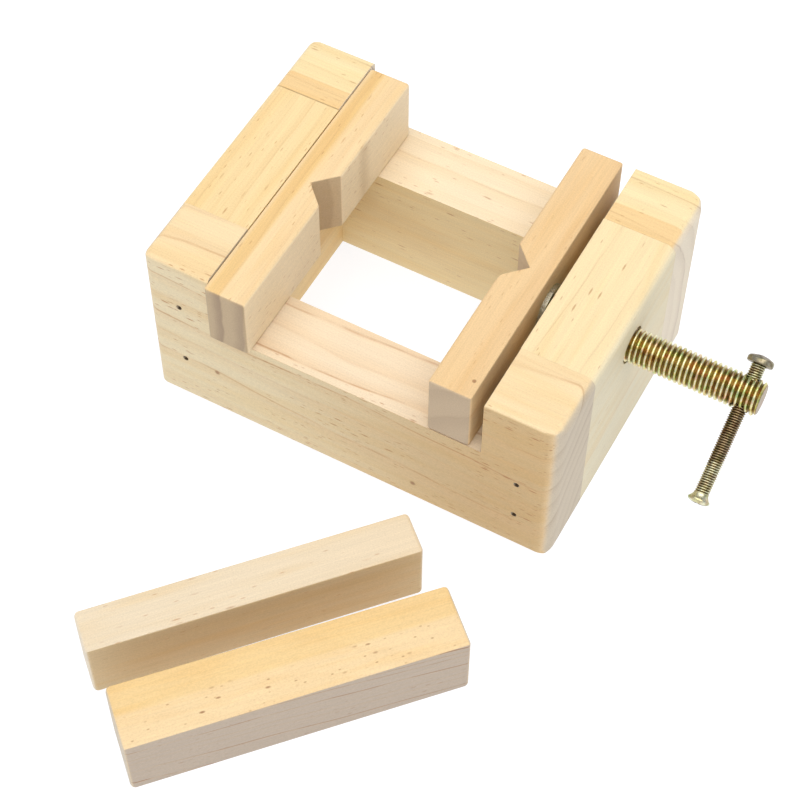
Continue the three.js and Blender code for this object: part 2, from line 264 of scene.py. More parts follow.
@dataclass(frozen=True)
class SandedPine:
    """Plantation pine, planed, glued up and sanded with fine paper, left without varnish.

    Sawn through the log, so one set of growth rings gives the long faces their faint straight
    lines and the ends their arcs. Resin canals cut lengthwise read as short brown dashes.
    """

    grain: Grain
    pith: tuple[float, float]
    ring_width: float = 6.0
    ring_share: float = 0.3
    ring_end: float = 0.88
    late_rise: float = 0.6
    late_fall: float = 0.12
    late_least: float = 0.3
    line_luck: float = 2.2
    line_width: float = 0.8
    line_share: float = 0.5
    line_facing: int | None = None
    sway: float = 7.0
    run_out: float = 0.02
    early: str = "#E6CFA3"
    late: str = "#D6B27E"
    yellowing: str = "#FBEFD6"
    end_early: str = "#DDD0BA"
    end_late: str = "#B9A590"
    end_share: float = 0.35
    end_line: str = "#9A8068"
    end_line_share: float = 0.6
    dash: str = "#A8713F"
    dash_share: float = 0.5
    dash_strength: float = 0.6
    dash_length: float = 1.0
    dash_width: float = 1.0
    dash_zone: tuple[int, float, float] = (1, -FAR, FAR)
    stripes: tuple[Stripe, ...] = ()
    knots_and_hole_shades: tuple[PinKnotOrHoleShade, ...] = ()
    # Patterns' lengths and widths in mm. Fibres of about 0.5 mm and canals 1.2 to 1.7 mm wide are
    # coarser than pine's 0.04 mm and 0.2 mm, so that they show at arm's length.
    sway_size: tuple[float, float] = (70.0, 26.0)
    gap_size: tuple[float, float] = (14.0, 8.0)
    group_size: tuple[float, float] = (45.0, 13.0)
    fibre_size: tuple[float, float] = (26.0, 0.55)
    cloud_size: tuple[float, float] = (60.0, 6.0)
    fuzz_size: tuple[float, float] = (0.55, 0.4)
    fibre_swing: float = 0.075
    fuzz_swing: float = 0.085
    # Each kind of canal: its length and width, its strength, and how rare its groups are.
    canals: tuple[tuple[float, float, float, float], ...] = ((5.0, 1.15, 0.75, 0.4), (9.0, 1.7, 1.0, 0.5))
    yellow_share: float = 0.5
    smoothest: float = 0.52
    roughest: float = 0.72
    relief: float = 0.06
    relief_strength: float = 0.5

    def spread(self, along: float, across: float) -> Place:
        """Scales that stretch a pattern along the grain.

        Args:
            along: the pattern's length along the grain, in mm.
            across: its width across the grain, in mm.

        Returns:
            One factor for each axis.
        """
        factors = [1 / across] * 3
        factors[self.grain.value] = 1 / along
        return (factors[0], factors[1], factors[2])

    def mottle(
        self, add: Adder, place: Socket, along: float, across: float, detail: float, rough: float = 0.5
    ) -> Socket:
        """Makes a cloudy pattern that is stretched along the grain.

        Args:
            add: adds a node to the material.
            place: the surface point, in mm.
            along: the clouds' length along the grain, in mm.
            across: their width across the grain, in mm.
            detail: how many finer sizes of cloud lie in them.
            rough: how strong the finer ones are.

        Returns:
            The pattern, about 0.5 on average.
        """
        stretched = add("VectorMath", {0: place, 1: self.spread(along, across)}, operation="MULTIPLY")
        return add("TexNoise", {"Vector": stretched, "Scale": 1.0, "Detail": detail, "Roughness": rough})

    def rings(self, add: Adder, place: Socket, along: Socket) -> tuple[Socket, Socket]:
        """Growth rings: a slow rise to latewood, ended by a thin dark line.

        Args:
            add: adds a node to the material.
            place: the surface point, in mm.
            along: its coordinate along the grain, in mm.

        Returns:
            The latewood's share and the thin line's share, both from 0 to 1.
        """
        across = [float(axis != self.grain.value) for axis in range(3)]
        flat = add("VectorMath", {0: place, 1: across}, operation="MULTIPLY")
        pith = list(self.pith)
        pith.insert(self.grain.value, 0.0)
        radius = add("VectorMath", {0: flat, 1: pith}, 1, operation="DISTANCE")
        sway = self.mottle(add, place, *self.sway_size, 2.5)
        swayed = add("Math", {0: sway, 1: self.sway, 2: radius}, operation="MULTIPLY_ADD")
        leaning = add("Math", {0: along, 1: self.run_out, 2: swayed}, operation="MULTIPLY_ADD")
        count = add("Math", {0: leaning, 1: self.ring_width}, operation="DIVIDE")
        phase = add("Math", {0: count}, operation="FRACT")
        year = add("Math", {0: count}, operation="FLOOR")
        luck = add("TexWhiteNoise", {"W": year}, noise_dimensions="1D")
        half_line = self.line_width / 2 / self.ring_width
        shares = []
        # Each bump rises and falls in shares of a ring. Few years have a line as dark as the darkest.
        for rise, fall, least, power in (
            (self.late_rise, self.late_fall, self.late_least, 1.0),
            (half_line, half_line, 0.0, self.line_luck)
        ):
            lift = add("Math", {0: luck, 1: power}, operation="POWER")
            bump = add("MapRange", {"Value": lift, "To Min": least})
            for away in (-rise, fall):
                side = add(
                    "MapRange",
                    {"Value": phase, "From Min": self.ring_end + away, "From Max": self.ring_end},
                    interpolation_type="SMOOTHSTEP"
                )
                bump = add("Math", {0: side, 1: bump}, operation="MULTIPLY")
            shares.append(bump)
        gaps = self.mottle(add, place, *self.gap_size, 2.0)
        whole = add("MapRange", {"Value": gaps, "From Min": 0.35, "From Max": 0.55})
        line = add("Math", {0: shares[1], 1: whole}, operation="MULTIPLY")
        return shares[0], line

    def dashes(self, add: Adder, place: Socket, axes: Sequence[Socket]) -> Socket:
        """Resin canals: short dashes of two sizes, in loose groups.

        Args:
            add: adds a node to the material.
            place: the surface point, in mm.
            axes: its three coordinates, in mm.

        Returns:
            The dashes' share, from 0 to 1.
        """
        cloud = self.mottle(add, place, *self.group_size, 1.0)
        total = 0.0
        for along, across, strength, crowd in self.canals:
            spread = self.spread(along * self.dash_length, across * self.dash_width)
            cells = add("VectorMath", {0: place, 1: spread}, operation="MULTIPLY")
            spot = add("TexVoronoi", {"Vector": cells, "Scale": 1.0}).node.outputs
            luck = add("SeparateColor", {"Color": spot["Color"]})
            kept = add("Math", {0: luck, 1: self.dash_share}, operation="LESS_THAN")
            grouped = add("MapRange", {"Value": cloud, "From Min": crowd - 0.04, "From Max": crowd + 0.08})
            shown = add(
                "MapRange",
                {"Value": spot["Distance"], "From Min": 0.26, "From Max": 0.08, "To Max": strength},
                interpolation_type="SMOOTHSTEP"
            )
            for limit in (kept, grouped):
                shown = add("Math", {0: shown, 1: limit}, operation="MULTIPLY")
            total = add("Math", {0: shown, 1: total}, operation="MAXIMUM")
        axis, first, last = self.dash_zone
        return between(add, axes[axis], first, last, 1.5, total, Ends.STRAIGHT)

    def striped(self, add: Adder, axes: Sequence[Socket], facing: Sequence[Socket], colour: Socket) -> Socket:
        """Lays the piece's zones over its colour: other wood, and on some pieces painted light and shade.

        Args:
            add: adds a node to the material.
            axes: the surface point's three coordinates, in mm.
            facing: the face direction's three shares.
            colour: the colour so far.

        Returns:
            The colour with the zones.
        """
        for stripe in self.stripes:
            drop = add("Math", {0: stripe.lean_from, 1: axes[2]}, operation="SUBTRACT")
            reach = add("Math", {0: drop, 1: stripe.lean, 2: axes[stripe.axis]}, operation="MULTIPLY_ADD")
            inside = between(add, reach, stripe.start, stripe.stop, stripe.blur, stripe.share, Ends.SOFT)
            if stripe.facing is not None:
                inside = turned_along(add, facing[stripe.facing], inside)
            colour = add(
                "Mix", {"Factor": inside, UNDER: colour, OVER: linear(stripe.colour)}, MIXED,
                data_type="RGBA", blend_type=stripe.change.value
            )
        return colour

    def knotted_and_shaded(self, add: Adder, place: Socket, colour: Socket) -> Socket:
        """Lays each pin knot of the piece, and the painted shade in each brad hole, over its colour.

        Args:
            add: adds a node to the material.
            place: the surface point, in mm.
            colour: the colour so far.

        Returns:
            The colour with these dark spots.
        """
        # Each spot: a pin knot, or painted shade in a brad hole.
        for knot in self.knots_and_hole_shades:
            reach = add("VectorMath", {0: place, 1: knot.place}, 1, operation="DISTANCE")
            dark = add(
                "MapRange",
                {"Value": reach, "From Min": knot.radius, "From Max": knot.core, "To Max": knot.share},
                interpolation_type="SMOOTHSTEP"
            )
            spot = {"Factor": dark, UNDER: colour, OVER: linear(knot.colour)}
            colour = add("Mix", spot, MIXED, data_type="RGBA")
        return colour

    def material(self, name: str) -> bpy.types.Material:
        """Builds the wood as a solid texture, so that faces and ends agree where they meet.

        Args:
            name: the material's name.

        Returns:
            The material.
        """
        material, add = new_material(name)
        place, axes = surface_place(add)
        facing = add("SeparateXYZ", {0: add("TexCoord", {}, "Normal")}).node.outputs
        ring, line = self.rings(add, place, axes[self.grain.value])
        if self.line_facing is not None:
            line = turned_along(add, facing[self.line_facing], line)

        fibre = self.mottle(add, place, *self.fibre_size, 3.0, 0.6)
        cloud = self.mottle(add, place, *self.cloud_size, 2.0, 0.6)
        fuzz = self.mottle(add, place, *self.fuzz_size, 1.0, 0.6)
        shade = 1.0
        for pattern, swing in ((fibre, self.fibre_swing), (fuzz, self.fuzz_swing)):
            reach = {"From Min": 0.2, "From Max": 0.8, "To Min": 1 - swing, "To Max": 1 + swing}
            part = add("MapRange", {"Value": pattern, **reach})
            shade = add("Math", {0: part, 1: shade}, operation="MULTIPLY")

        yellow = add(
            "MapRange", {"Value": cloud, "From Min": 0.42, "From Max": 0.72, "To Max": self.yellow_share},
            interpolation_type="SMOOTHSTEP"
        )
        tinted_face = add(
            "Mix", {"Factor": yellow, UNDER: linear(self.early), OVER: linear(self.yellowing)}, MIXED,
            data_type="RGBA", blend_type="MULTIPLY"
        )
        # On some boards the zones are painted light and shade as well as other wood.
        tinted_face = self.striped(add, axes, facing, tinted_face)
        colours = []
        for colour, *layers in (
            (tinted_face, (ring, self.ring_share, self.late), (line, self.line_share, self.dash)),
            (
                linear(self.end_early), (ring, self.end_share, self.end_late),
                (line, self.end_line_share, self.end_line)
            )
        ):
            for pattern, share, sheet in layers:
                part = add("Math", {0: pattern, 1: share}, operation="MULTIPLY")
                layer = {"Factor": part, UNDER: colour, OVER: linear(sheet)}
                colour = add("Mix", layer, MIXED, data_type="RGBA")
            colours.append(colour)
        face, end = colours
        dashes = self.dashes(add, place, axes)
        part = add("Math", {0: dashes, 1: self.dash_strength}, operation="MULTIPLY")
        face = add("Mix", {"Factor": part, UNDER: face, OVER: linear(self.dash)}, MIXED, data_type="RGBA")
        face = self.knotted_and_shaded(add, place, face)

        lean = add("Math", {0: facing[self.grain.value]}, operation="ABSOLUTE")
        is_end = add(
            "MapRange", {"Value": lean, "From Min": 0.5, "From Max": 0.85}, interpolation_type="SMOOTHSTEP"
        )
        both = add("Mix", {"Factor": is_end, UNDER: face, OVER: end}, MIXED, data_type="RGBA")
        colour = add("VectorMath", {0: both, "Scale": shade}, operation="SCALE")
        roughness = add("MapRange", {"Value": fibre, "To Min": self.smoothest, "To Max": self.roughest})
        height = add("Math", {0: fibre, 1: ring}, operation="ADD")
        bump = {"Height": height, "Strength": self.relief_strength, "Distance": self.relief * MM}
        relief = add("Bump", bump)
        finish_surface(
            add, {"Base Color": colour, "Roughness": roughness, "Metallic": 0.0, "Normal": relief}
        )
        return material


@dataclass(frozen=True)
class FilmedSteel:
    """Rolled, drawn or stamped steel under a thin film: chromated zinc, or the dark of oil and heat.

    A chromate bath gives patches of yellow, green and pink. The colour runs from brown in the thread
    roots to bright on the crests: partly a film that is thick where the bath drains slowly and thin
    where the crests were rubbed, and partly painted shade in the roots and painted highlight on the crests.
    """

    crest: str
    flank: str
    root: str
    tints: tuple[str, str, str]
    patch_mm: float = 3.0
    axis_place: Place = (0.0, 0.0, 0.0)
    across: Place = (1.0, 1.0, 0.0)
    root_radius: float = 0.0
    crest_radius: float = 1.0
    tarnish: tuple[float, float] | None = None
    tarnish_colour: str = "#B89C8E"
    tarnish_share: float = 0.85
    ragged: float = 14.0
    tint_share: float = 0.6
    low_roughness: float = 0.2
    high_roughness: float = 0.42
    relief: float = 0.03
    relief_strength: float = 0.35

    def material(self, name: str) -> bpy.types.Material:
        """Builds the film, darker towards the root radius, partly as painted shade in the roots.

        Args:
            name: the material's name.

        Returns:
            The material.
        """
        material, add = new_material(name)
        place, axes = surface_place(add)
        flat = add("VectorMath", {0: place, 1: self.across}, operation="MULTIPLY")
        radius = add("VectorMath", {0: flat, 1: self.axis_place}, 1, operation="DISTANCE")
        height = add(
            "MapRange", {"Value": radius, "From Min": self.root_radius, "From Max": self.crest_radius}
        )
        clouds = {"Vector": place, "Scale": 1 / self.patch_mm, "Detail": 3.0, "Roughness": 0.6}
        patches = add("SeparateColor", {0: add("TexNoise", clouds, "Color")}).node.outputs
        colour = linear(self.root)
        # Brown roots and bright crests: partly film thickness, partly painted shade and painted highlight.
        for start, stop, sheet in ((0.0, 0.55, self.flank), (0.55, 1.0, self.crest)):
            part = add(
                "MapRange", {"Value": height, "From Min": start, "From Max": stop},
                interpolation_type="SMOOTHSTEP"
            )
            layer = {"Factor": part, UNDER: colour, OVER: linear(sheet)}
            colour = add("Mix", layer, MIXED, data_type="RGBA")
        for channel, tint in enumerate(self.tints):
            patch = add(
                "MapRange",
                {"Value": patches[channel], "From Min": 0.48, "From Max": 0.66, "To Max": self.tint_share},
                interpolation_type="SMOOTHSTEP"
            )
            layer = {"Factor": patch, UNDER: colour, OVER: linear(tint)}
            colour = add("Mix", layer, MIXED, data_type="RGBA", blend_type="MULTIPLY")
        if self.tarnish is not None:
            colour = self.tarnished(add, axes[2], patches[1], colour)
        scuffs = add("TexNoise", {"Vector": place, "Scale": 2.5, "Detail": 4.0})
        least, most = self.low_roughness, self.high_roughness
        reach = {"From Min": 0.3, "From Max": 0.7, "To Min": least, "To Max": most}
        roughness = add("MapRange", {"Value": scuffs, **reach})
        bump = {"Height": scuffs, "Strength": self.relief_strength, "Distance": self.relief * MM}
        relief = add("Bump", bump)
        finish_surface(
            add, {"Base Color": colour, "Metallic": 1.0, "Roughness": roughness, "Normal": relief}
        )
        return material

    def tarnished(self, add: Adder, height: Socket, patches: Socket, colour: Socket) -> Socket:
        """Browns the film between two heights of the piece's own Z axis, with ragged ends.

        Args:
            add: adds a node to the material.
            height: the surface point's place on that axis, in mm.
            patches: a noise that makes the ends ragged.
            colour: the colour so far.

        Returns:
            The colour with the browned stretch.
        """
        shifted = add("Math", {0: patches, 1: self.ragged, 2: height}, operation="MULTIPLY_ADD")
        start, stop = (edge + self.ragged / 2 for edge in self.tarnish)
        layer = {
            "Factor": between(add, shifted, start, stop, 1.0, self.tarnish_share, Ends.SOFT), UNDER: colour,
            OVER: linear(self.tarnish_colour)
        }
        return add("Mix", layer, MIXED, data_type="RGBA", blend_type="MULTIPLY")


# Mesh work


def plug(low: float, high: float, radius: float) -> list[tuple[float, float]]:
    """The profile of a plain round bar between two heights, in metres."""
    return [(low, 0), (low, radius), (high, radius), (high, 0)]


def rectangle(half_length: float, half_width: float) -> list[tuple[float, float]]:
    """The outline of a rectangle round the origin, in metres."""
    return [
        (-half_length, -half_width), (half_length, -half_width), (half_length, half_width),
        (-half_length, half_width)
    ]


def new_object(name: str, work: Work, place: Matrix | None = None) -> Piece:
    """Puts finished mesh work into the scene.

    Args:
        name: the piece's name.
        work: the mesh work, which is freed.
        place: where the piece's own frame stands in the part's frame.

    Returns:
        The new object.
    """
    mesh = bpy.data.meshes.new(name)
    bmesh.ops.recalc_face_normals(work, faces=work.faces)
    work.to_mesh(mesh)
    work.free()
    piece = bpy.data.objects.new(name, mesh)
    bpy.context.scene.collection.objects.link(piece)
    if place is not None:
        piece.matrix_world = place
    return piece


def settle(piece: Piece) -> None:
    """Turns a piece's modifiers into plain mesh.

    Args:
        piece: the piece.
    """
    bpy.context.view_layer.update()
    seen = piece.evaluated_get(bpy.context.evaluated_depsgraph_get())
    mesh = bpy.data.meshes.new_from_object(seen)
    worn = piece.data
    piece.modifiers.clear()
    piece.data = mesh
    mesh.name = piece.name
    bpy.data.meshes.remove(worn)


def raised(outline: Sequence[tuple[float, float]], plane: Plane, low: float, high: float) -> Work:
    """Raises a closed outline into a solid.

    Args:
        outline: the corners, in metres, in the plane's two axes.
        plane: the plane that the outline is drawn in.
        low: where the solid starts on the third axis.
        high: where it ends.

    Returns:
        The mesh work.
    """
    work = bmesh.new()
    rows = []
    for level in (low, high):
        row = []
        for first, second in outline:
            corner = [0.0, 0.0, 0.0]
            corner[plane.value[0]], corner[plane.value[1]], corner[plane.value[2]] = first, second, level
            row.append(work.verts.new(corner))
        rows.append(row)
    for row in rows:
        work.faces.new(row)
    for index in range(len(outline)):
        after = (index + 1) % len(outline)
        work.faces.new((rows[0][index], rows[0][after], rows[1][after], rows[1][index]))
    return work


def turned(profile: Sequence[tuple[float, float]], steps: int = 48) -> Work:
    """Turns a profile round the piece's own Z axis.

    Args:
        profile: points as (height, radius), in metres, from one end to the other; a radius of 0
            closes an end, and a profile with none closes on itself.
        steps: facets round the axis.

    Returns:
        The mesh work.
    """
    work = bmesh.new()
    rings = []
    for height, radius in profile:
        if radius == 0:
            rings.append([work.verts.new((0, 0, height))] * steps)
            continue
        angles = [math.tau * step / steps for step in range(steps)]
        corners = [(radius * math.cos(a), radius * math.sin(a), height) for a in angles]
        rings.append([work.verts.new(corner) for corner in corners])
    pairs = list(zip(rings, rings[1:]))
    if all(radius > 0 for _, radius in profile):
        pairs.append((rings[-1], rings[0]))
    for lower, upper in pairs:
        for step in range(steps):
            after = (step + 1) % steps
            corners = [lower[step], lower[after], upper[after], upper[step]]
            work.faces.new(list(dict.fromkeys(corners)))
    return work


def combine(piece: Piece, tools: Iterable[Piece], operation: str) -> None:
    """Cuts or joins a piece with other solids, which are used up.

    Args:
        piece: the piece that stays.
        tools: the other solids.
        operation: "DIFFERENCE" or "UNION".
    """
    used = list(tools)
    for tool in used:
        change = piece.modifiers.new("combine", "BOOLEAN")
        change.operation = operation
        change.solver = "EXACT"
        change.object = tool
    settle(piece)
    for tool in used:
        mesh = tool.data
        bpy.data.objects.remove(tool)
        bpy.data.meshes.remove(mesh)


def round_over(piece: Piece, radius_of: Callable[[Vector, Vector], float], steps: int) -> None:
    """Rounds a piece's edges, each by its own radius.

    Args:
        piece: the piece.
        radius_of: gives an edge's radius in metres from its two ends; 0 leaves it sharp.
        steps: facets across one rounded edge.
    """
    mesh = piece.data
    radii = [radius_of(*(mesh.vertices[i].co for i in edge.vertices)) for edge in mesh.edges]
    largest = max(radii)
    weights = mesh.attributes.new("bevel_weight_edge", "FLOAT", "EDGE")
    weights.data.foreach_set("value", [radius / largest for radius in radii])
    bevel = piece.modifiers.new("round over", "BEVEL")
    bevel.limit_method = "WEIGHT"
    bevel.width = largest
    bevel.segments = steps
    bevel.use_clamp_overlap = False
    settle(piece)


def ease_edges(piece: Piece, radius: float, angle: float = 40, steps: int = 2) -> None:
    """Takes the sharpness off every edge that is still sharp, as sandpaper does.

    Args:
        piece: the piece.
        radius: the eased edge's width, in metres.
        angle: the least angle between faces that counts as sharp, in degrees.
        steps: facets across the eased edge.
    """
    bevel = piece.modifiers.new("ease", "BEVEL")
    bevel.limit_method = "ANGLE"
    bevel.angle_limit = math.radians(angle)
    bevel.width = radius
    bevel.segments = steps
    settle(piece)


def smooth(piece: Piece, angle: float = 35) -> None:
    """Shades curved surfaces as curved and keeps flat faces flat.

    Args:
        piece: the piece.
        angle: edges sharper than this many degrees stay crisp.
    """
    piece.data.shade_smooth()
    piece.data.set_sharp_from_angle(angle=math.radians(angle))
    weighted = piece.modifiers.new("flat faces", "WEIGHTED_NORMAL")
    weighted.keep_sharp = True


def hand_over(piece: Piece, finish: bpy.types.Material, body: str, slot: str, *nodes: str) -> None:
    """Dresses a finished piece and hands it to the frame.

    Args:
        piece: the piece.
        finish: its material.
        body: the body that it moves with.
        slot: the record's material slot that its finish belongs to; not used.
        nodes: the CAD nodes that it stands for.
    """
    piece.data.materials.clear()
    piece.data.materials.append(finish)
    smooth(piece)
    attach(piece, body)
    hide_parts(*nodes)
    LOG.info("%s stands for %s and rides on %s", piece.name, ", ".join(nodes), body)


def near(first: float, second: float) -> bool:
    """Whether two coordinates are the same place."""
    return abs(first - second) < TINY


def middle(node: str) -> Vector:
    """The centre of a CAD node's box."""
    low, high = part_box(node)
    return (low + high) / 2


def reach_along(node: str, place: Matrix) -> tuple[float, float]:
    """How far a CAD node reaches both ways along the Z axis of a frame.

    Args:
        node: the node.
        place: the frame.

    Returns:
        The least and the greatest distance from the frame's origin.
    """
    corners = frame["nodes"][node].data.vertices
    places = [(corner.co - place.translation).dot(place.col[2].xyz) for corner in corners]
    return min(places), max(places)


@dataclass(frozen=True)
class MetricThread:
    """A rolled screw thread: its outer diameter and pitch in mm, with a rounded crest and root.

    The profile gives the height above the root, from 0 to 1, at places along one pitch. The steps
    are facets in one turn. The spare turns at each end are cut off square.
    """

    diameter: float
    pitch: float
    steps: int = 40
    depth_share: float = 0.6134
    spare_turns: int = 2
    profile: tuple[tuple[float, float], ...] = (
        (0.0, 0.0), (0.1, 0.08), (0.21, 0.5), (0.33, 0.88), (0.44, 1.0), (0.56, 1.0), (0.67, 0.88),
        (0.79, 0.5), (0.9, 0.08)
    )

    @property
    def root_radius(self) -> float:
        """The radius at the bottom of the thread, in mm."""
        return self.diameter / 2 - self.depth_share * self.pitch

    def rod(self, start: float, stop: float, chamfer: float) -> Work:
        """Builds a threaded rod on the piece's own Z axis.

        Args:
            start: where the rod starts, in metres.
            stop: where it ends.
            chamfer: the bevel on both ends, in metres.

        Returns:
            The mesh work, closed and cut square at both ends.
        """
        pitch = self.pitch * MM
        depth = self.depth_share * pitch
        root = self.root_radius * MM
        turns = math.ceil((stop - start) / pitch) + 2 * self.spare_turns
        work = bmesh.new()
        rows = []
        for step in range(turns * self.steps + 1):
            angle = math.tau * step / self.steps
            base = start + pitch * (step / self.steps - self.spare_turns)
            row = []
            for share, height in self.profile:
                radius = root + height * depth
                corner = (radius * math.cos(angle), radius * math.sin(angle), base + share * pitch)
                row.append(work.verts.new(corner))
            rows.append(row)
        for step in range((turns - 1) * self.steps):
            here = rows[step] + [rows[step + self.steps][0]]
            ahead = rows[step + 1] + [rows[step + 1 + self.steps][0]]
            for index in range(len(self.profile)):
                work.faces.new((here[index], ahead[index], ahead[index + 1], here[index + 1]))
        for level, away in ((start, -1), (stop, 1)):
            bmesh.ops.bisect_plane(
                work, geom=[*work.verts, *work.edges, *work.faces], plane_co=(0, 0, level),
                plane_no=(0, 0, away), clear_outer=True
            )
        loose = [corner for corner in work.verts if not corner.link_faces]
        bmesh.ops.delete(work, geom=loose, context="VERTS")
        rims = [edge for edge in work.edges if edge.is_boundary]
        bmesh.ops.holes_fill(work, edges=rims, sides=0)
        outer = self.diameter / 2 * MM
        for corner in work.verts:
            from_end = min(corner.co.z - start, stop - corner.co.z)
            limit = outer - chamfer + from_end
            radius = math.hypot(corner.co.x, corner.co.y)
            if radius > limit:
                corner.co.x *= limit / radius
                corner.co.y *= limit / radius
        return work


# Wooden pieces

# How far a punched hole stands off its brad, and how far it runs past each end, in mm.
BRAD_HOLE_CLEARANCE = 0.15
BRAD_POINT = 3.0
BRAD_HOLE_RUN = 4.0
# The width of a board's eased edges, which draws the glued seams as fine lines, in mm.
SEAM_WIDTH = 0.3
# The gap between a jaw and its seat, in mm.
JAW_CLEARANCE = 0.15
# Facets round a pin's hole, a brad's hole, a bored hole and the largest hole.
PIN_FACETS, FEW_FACETS, FACETS, MANY_FACETS = 16, 20, 48, 64


def brad_nodes(part: str) -> list[str]:
    """The brads' CAD nodes whose names hold a given part, in order."""
    return sorted(name for name in frame["nodes"] if name.startswith("brad_") and part in name)


def brad_holes(rail: str) -> list[Piece]:
    """Cutters for the brads of one side of the frame.

    Args:
        rail: "near" or "far".

    Returns:
        One cutter for each brad, long enough to open the side face.
    """
    cutters = []
    outward = -1 if rail == "near" else 1
    for node in brad_nodes(f"_{rail}_"):
        low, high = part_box(node)
        gap = BRAD_HOLE_CLEARANCE * MM
        radius = (high.x - low.x) / 2 + gap
        bottom = low.y - high.y
        mouth = BRAD_HOLE_RUN * MM
        profile = [(bottom - gap, 0), (bottom + BRAD_POINT * MM, radius), (mouth, radius), (mouth, 0)]
        head = middle(node)
        head.y = high.y if outward > 0 else low.y
        place = Matrix.Translation(head) @ Matrix.Rotation(-outward * math.pi / 2, 4, "X")
        cutters.append(new_object("brad_hole", turned(profile, FEW_FACETS), place))
    return cutters


@dataclass
class BoxFrame:
    """The open box: two U-shaped side rails and two end blocks, glued, bradded and sanded over."""

    left_corner_radius: float = 3.5
    corner_radius: float = 6.0
    left_edge_radius: float = 2.6
    end_edge_radius: float = 4.0
    side_edge_radius: float = 2.0
    bottom_edge_radius: float = 1.5
    seat_edge_radius: float = 0.5
    seat_corner_radius: float = 1.0
    lip_radius: float = 0.3
    round_steps: int = 9
    # Painted shade inside each brad's hole: a dark spot centred 0.95 mm into the wood, on the hole's walls.
    brad_hole_shade: PinKnotOrHoleShade = PinKnotOrHoleShade((0.0, 0.95, 0.0), 1.5, 1.3, 0.9, "#3E2A1C")
    screw_hole_clearance: float = 0.6
    nut_clearance: float = 0.15
    nut_barrel_wall: float = 1.1
    nut_flange: float = 1.7
    cutter_run: float = 2.0
    # A board dashed along its outer face. The outer face carries a painted cool tint for the cool light
    # from the front, and the seat is painted paler and cooler to take out the warm shade in the well.
    near_pine: SandedPine = SandedPine(
        Grain.X, pith=(18.0, -25.0), ring_width=6.5, early="#E6D0A8", late="#D1AC7D", dash_share=0.8,
        dash_strength=0.85, dash_zone=(1, -FAR, -52.0), run_out=0.03, line_share=0.6, end_early="#C5B7A1",
        end_late="#A08A72", end_share=0.3,
        stripes=(
            # Painted cool light on the outer face.
            Stripe(1, -60.0, -54.0, "#F4FAFF", facing=1),
            # Painted light: the seat is made paler and cooler against the warm shade in the well.
            Stripe(2, 30.0, 60.0, "#E0D1BE", facing=2, change=Change.COVER, share=0.7),
            Stripe(0, 75.0, 400.0, "#E8D6BD", blur=60.0, facing=1)
        ),
        knots_and_hole_shades=(PinKnotOrHoleShade((12.5, -55.0, 21.1)), PinKnotOrHoleShade((87.4, -55.0, 8.4)))
    )
    # A pale, even board, faintly peach along its inner side; its seat is painted paler and cooler to take
    # out the warm shade in the well.
    far_pine: SandedPine = SandedPine(
        Grain.X, pith=(-60.0, 20.0), ring_width=8.0, line_share=0.35, early="#E8D7AC", late="#D8BB89",
        dash_share=0.3,
        stripes=(
            Stripe(1, 15.0, 38.0, "#FAE9D8", 0.4, lean=0.35),
            # Painted light on the seat, against the warm shade in the well.
            Stripe(2, 40.0, 60.0, "#E9D9C2", facing=2, change=Change.COVER, share=0.75)
        )
    )
    # A warm board with few marks; a brown hairline shows where it meets the far rail.
    fixed_end_pine: SandedPine = SandedPine(
        Grain.Y, pith=(-70.0, 30.0), ring_width=5.5, line_share=0.12, early="#E6CE9E", late="#D6B47F",
        dash_share=0.25, stripes=(Stripe(1, 29.5, 60.0, "#8A6A44", 0.15, facing=2, share=0.6),)
    )
    # The palest of the four boards. Its top is painted a little warmer for the warm light from above, and
    # its end face cooler for the cool light from the side.
    screw_end_pine: SandedPine = SandedPine(
        Grain.Y, pith=(240.0, 60.0), ring_width=8.0, line_share=0.2, early="#EADCB8", late="#DCC59A",
        dash_share=0.18,
        # Painted light: cool on the end face, warm on the top.
        stripes=(Stripe(0, 130.0, 140.0, "#EEF1F8", facing=0), Stripe(2, 60.0, 80.0, "#FDF6EC", facing=2))
    )

    def __post_init__(self) -> None:
        """Takes the frame's planes from its CAD nodes."""
        self.low, self.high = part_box("near_side_rail")
        self.top = self.high.z
        self.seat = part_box("moving_jaw")[0].z - JAW_CLEARANCE * MM
        self.left_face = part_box("fixed_end_block")[1].x
        self.right_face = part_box("screw_end_block")[0].x
        self.left = self.low.x
        self.right = self.high.x
        self.screw_axis = middle("clamp_screw")

    def edge_radius(self, outer: float | None) -> Callable[[Vector, Vector], float]:
        """Radii of the frame's edges.

        Args:
            outer: the side face's Y, or None for an end block, which has no side face.

        Returns:
            A function that gives an edge's radius from its ends.
        """

        def radius(first: Vector, second: Vector) -> float:
            """The radius of the edge between two corners, in metres."""
            run = second - first
            centre = (first + second) / 2
            at_end = near(centre.x, self.left) or near(centre.x, self.right)
            at_side = outer is not None and near(centre.y, outer)
            if abs(run.z) > TINY:
                if not (at_end and at_side):
                    return 0.0
                return (self.left_corner_radius if near(centre.x, self.left) else self.corner_radius) * MM
            if near(centre.z, 0):
                return self.bottom_edge_radius * MM if at_end or at_side else 0.0
            if near(centre.z, self.top):
                if abs(run.y) > TINY and near(centre.x, self.left):
                    return self.left_edge_radius * MM
                if abs(run.y) > TINY:
                    return (self.end_edge_radius if at_end else self.lip_radius) * MM
                return self.side_edge_radius * MM if at_side else 0.0
            if abs(run.y) > TINY:
                return self.seat_corner_radius * MM
            return self.seat_edge_radius * MM if at_side else 0.0

        return radius

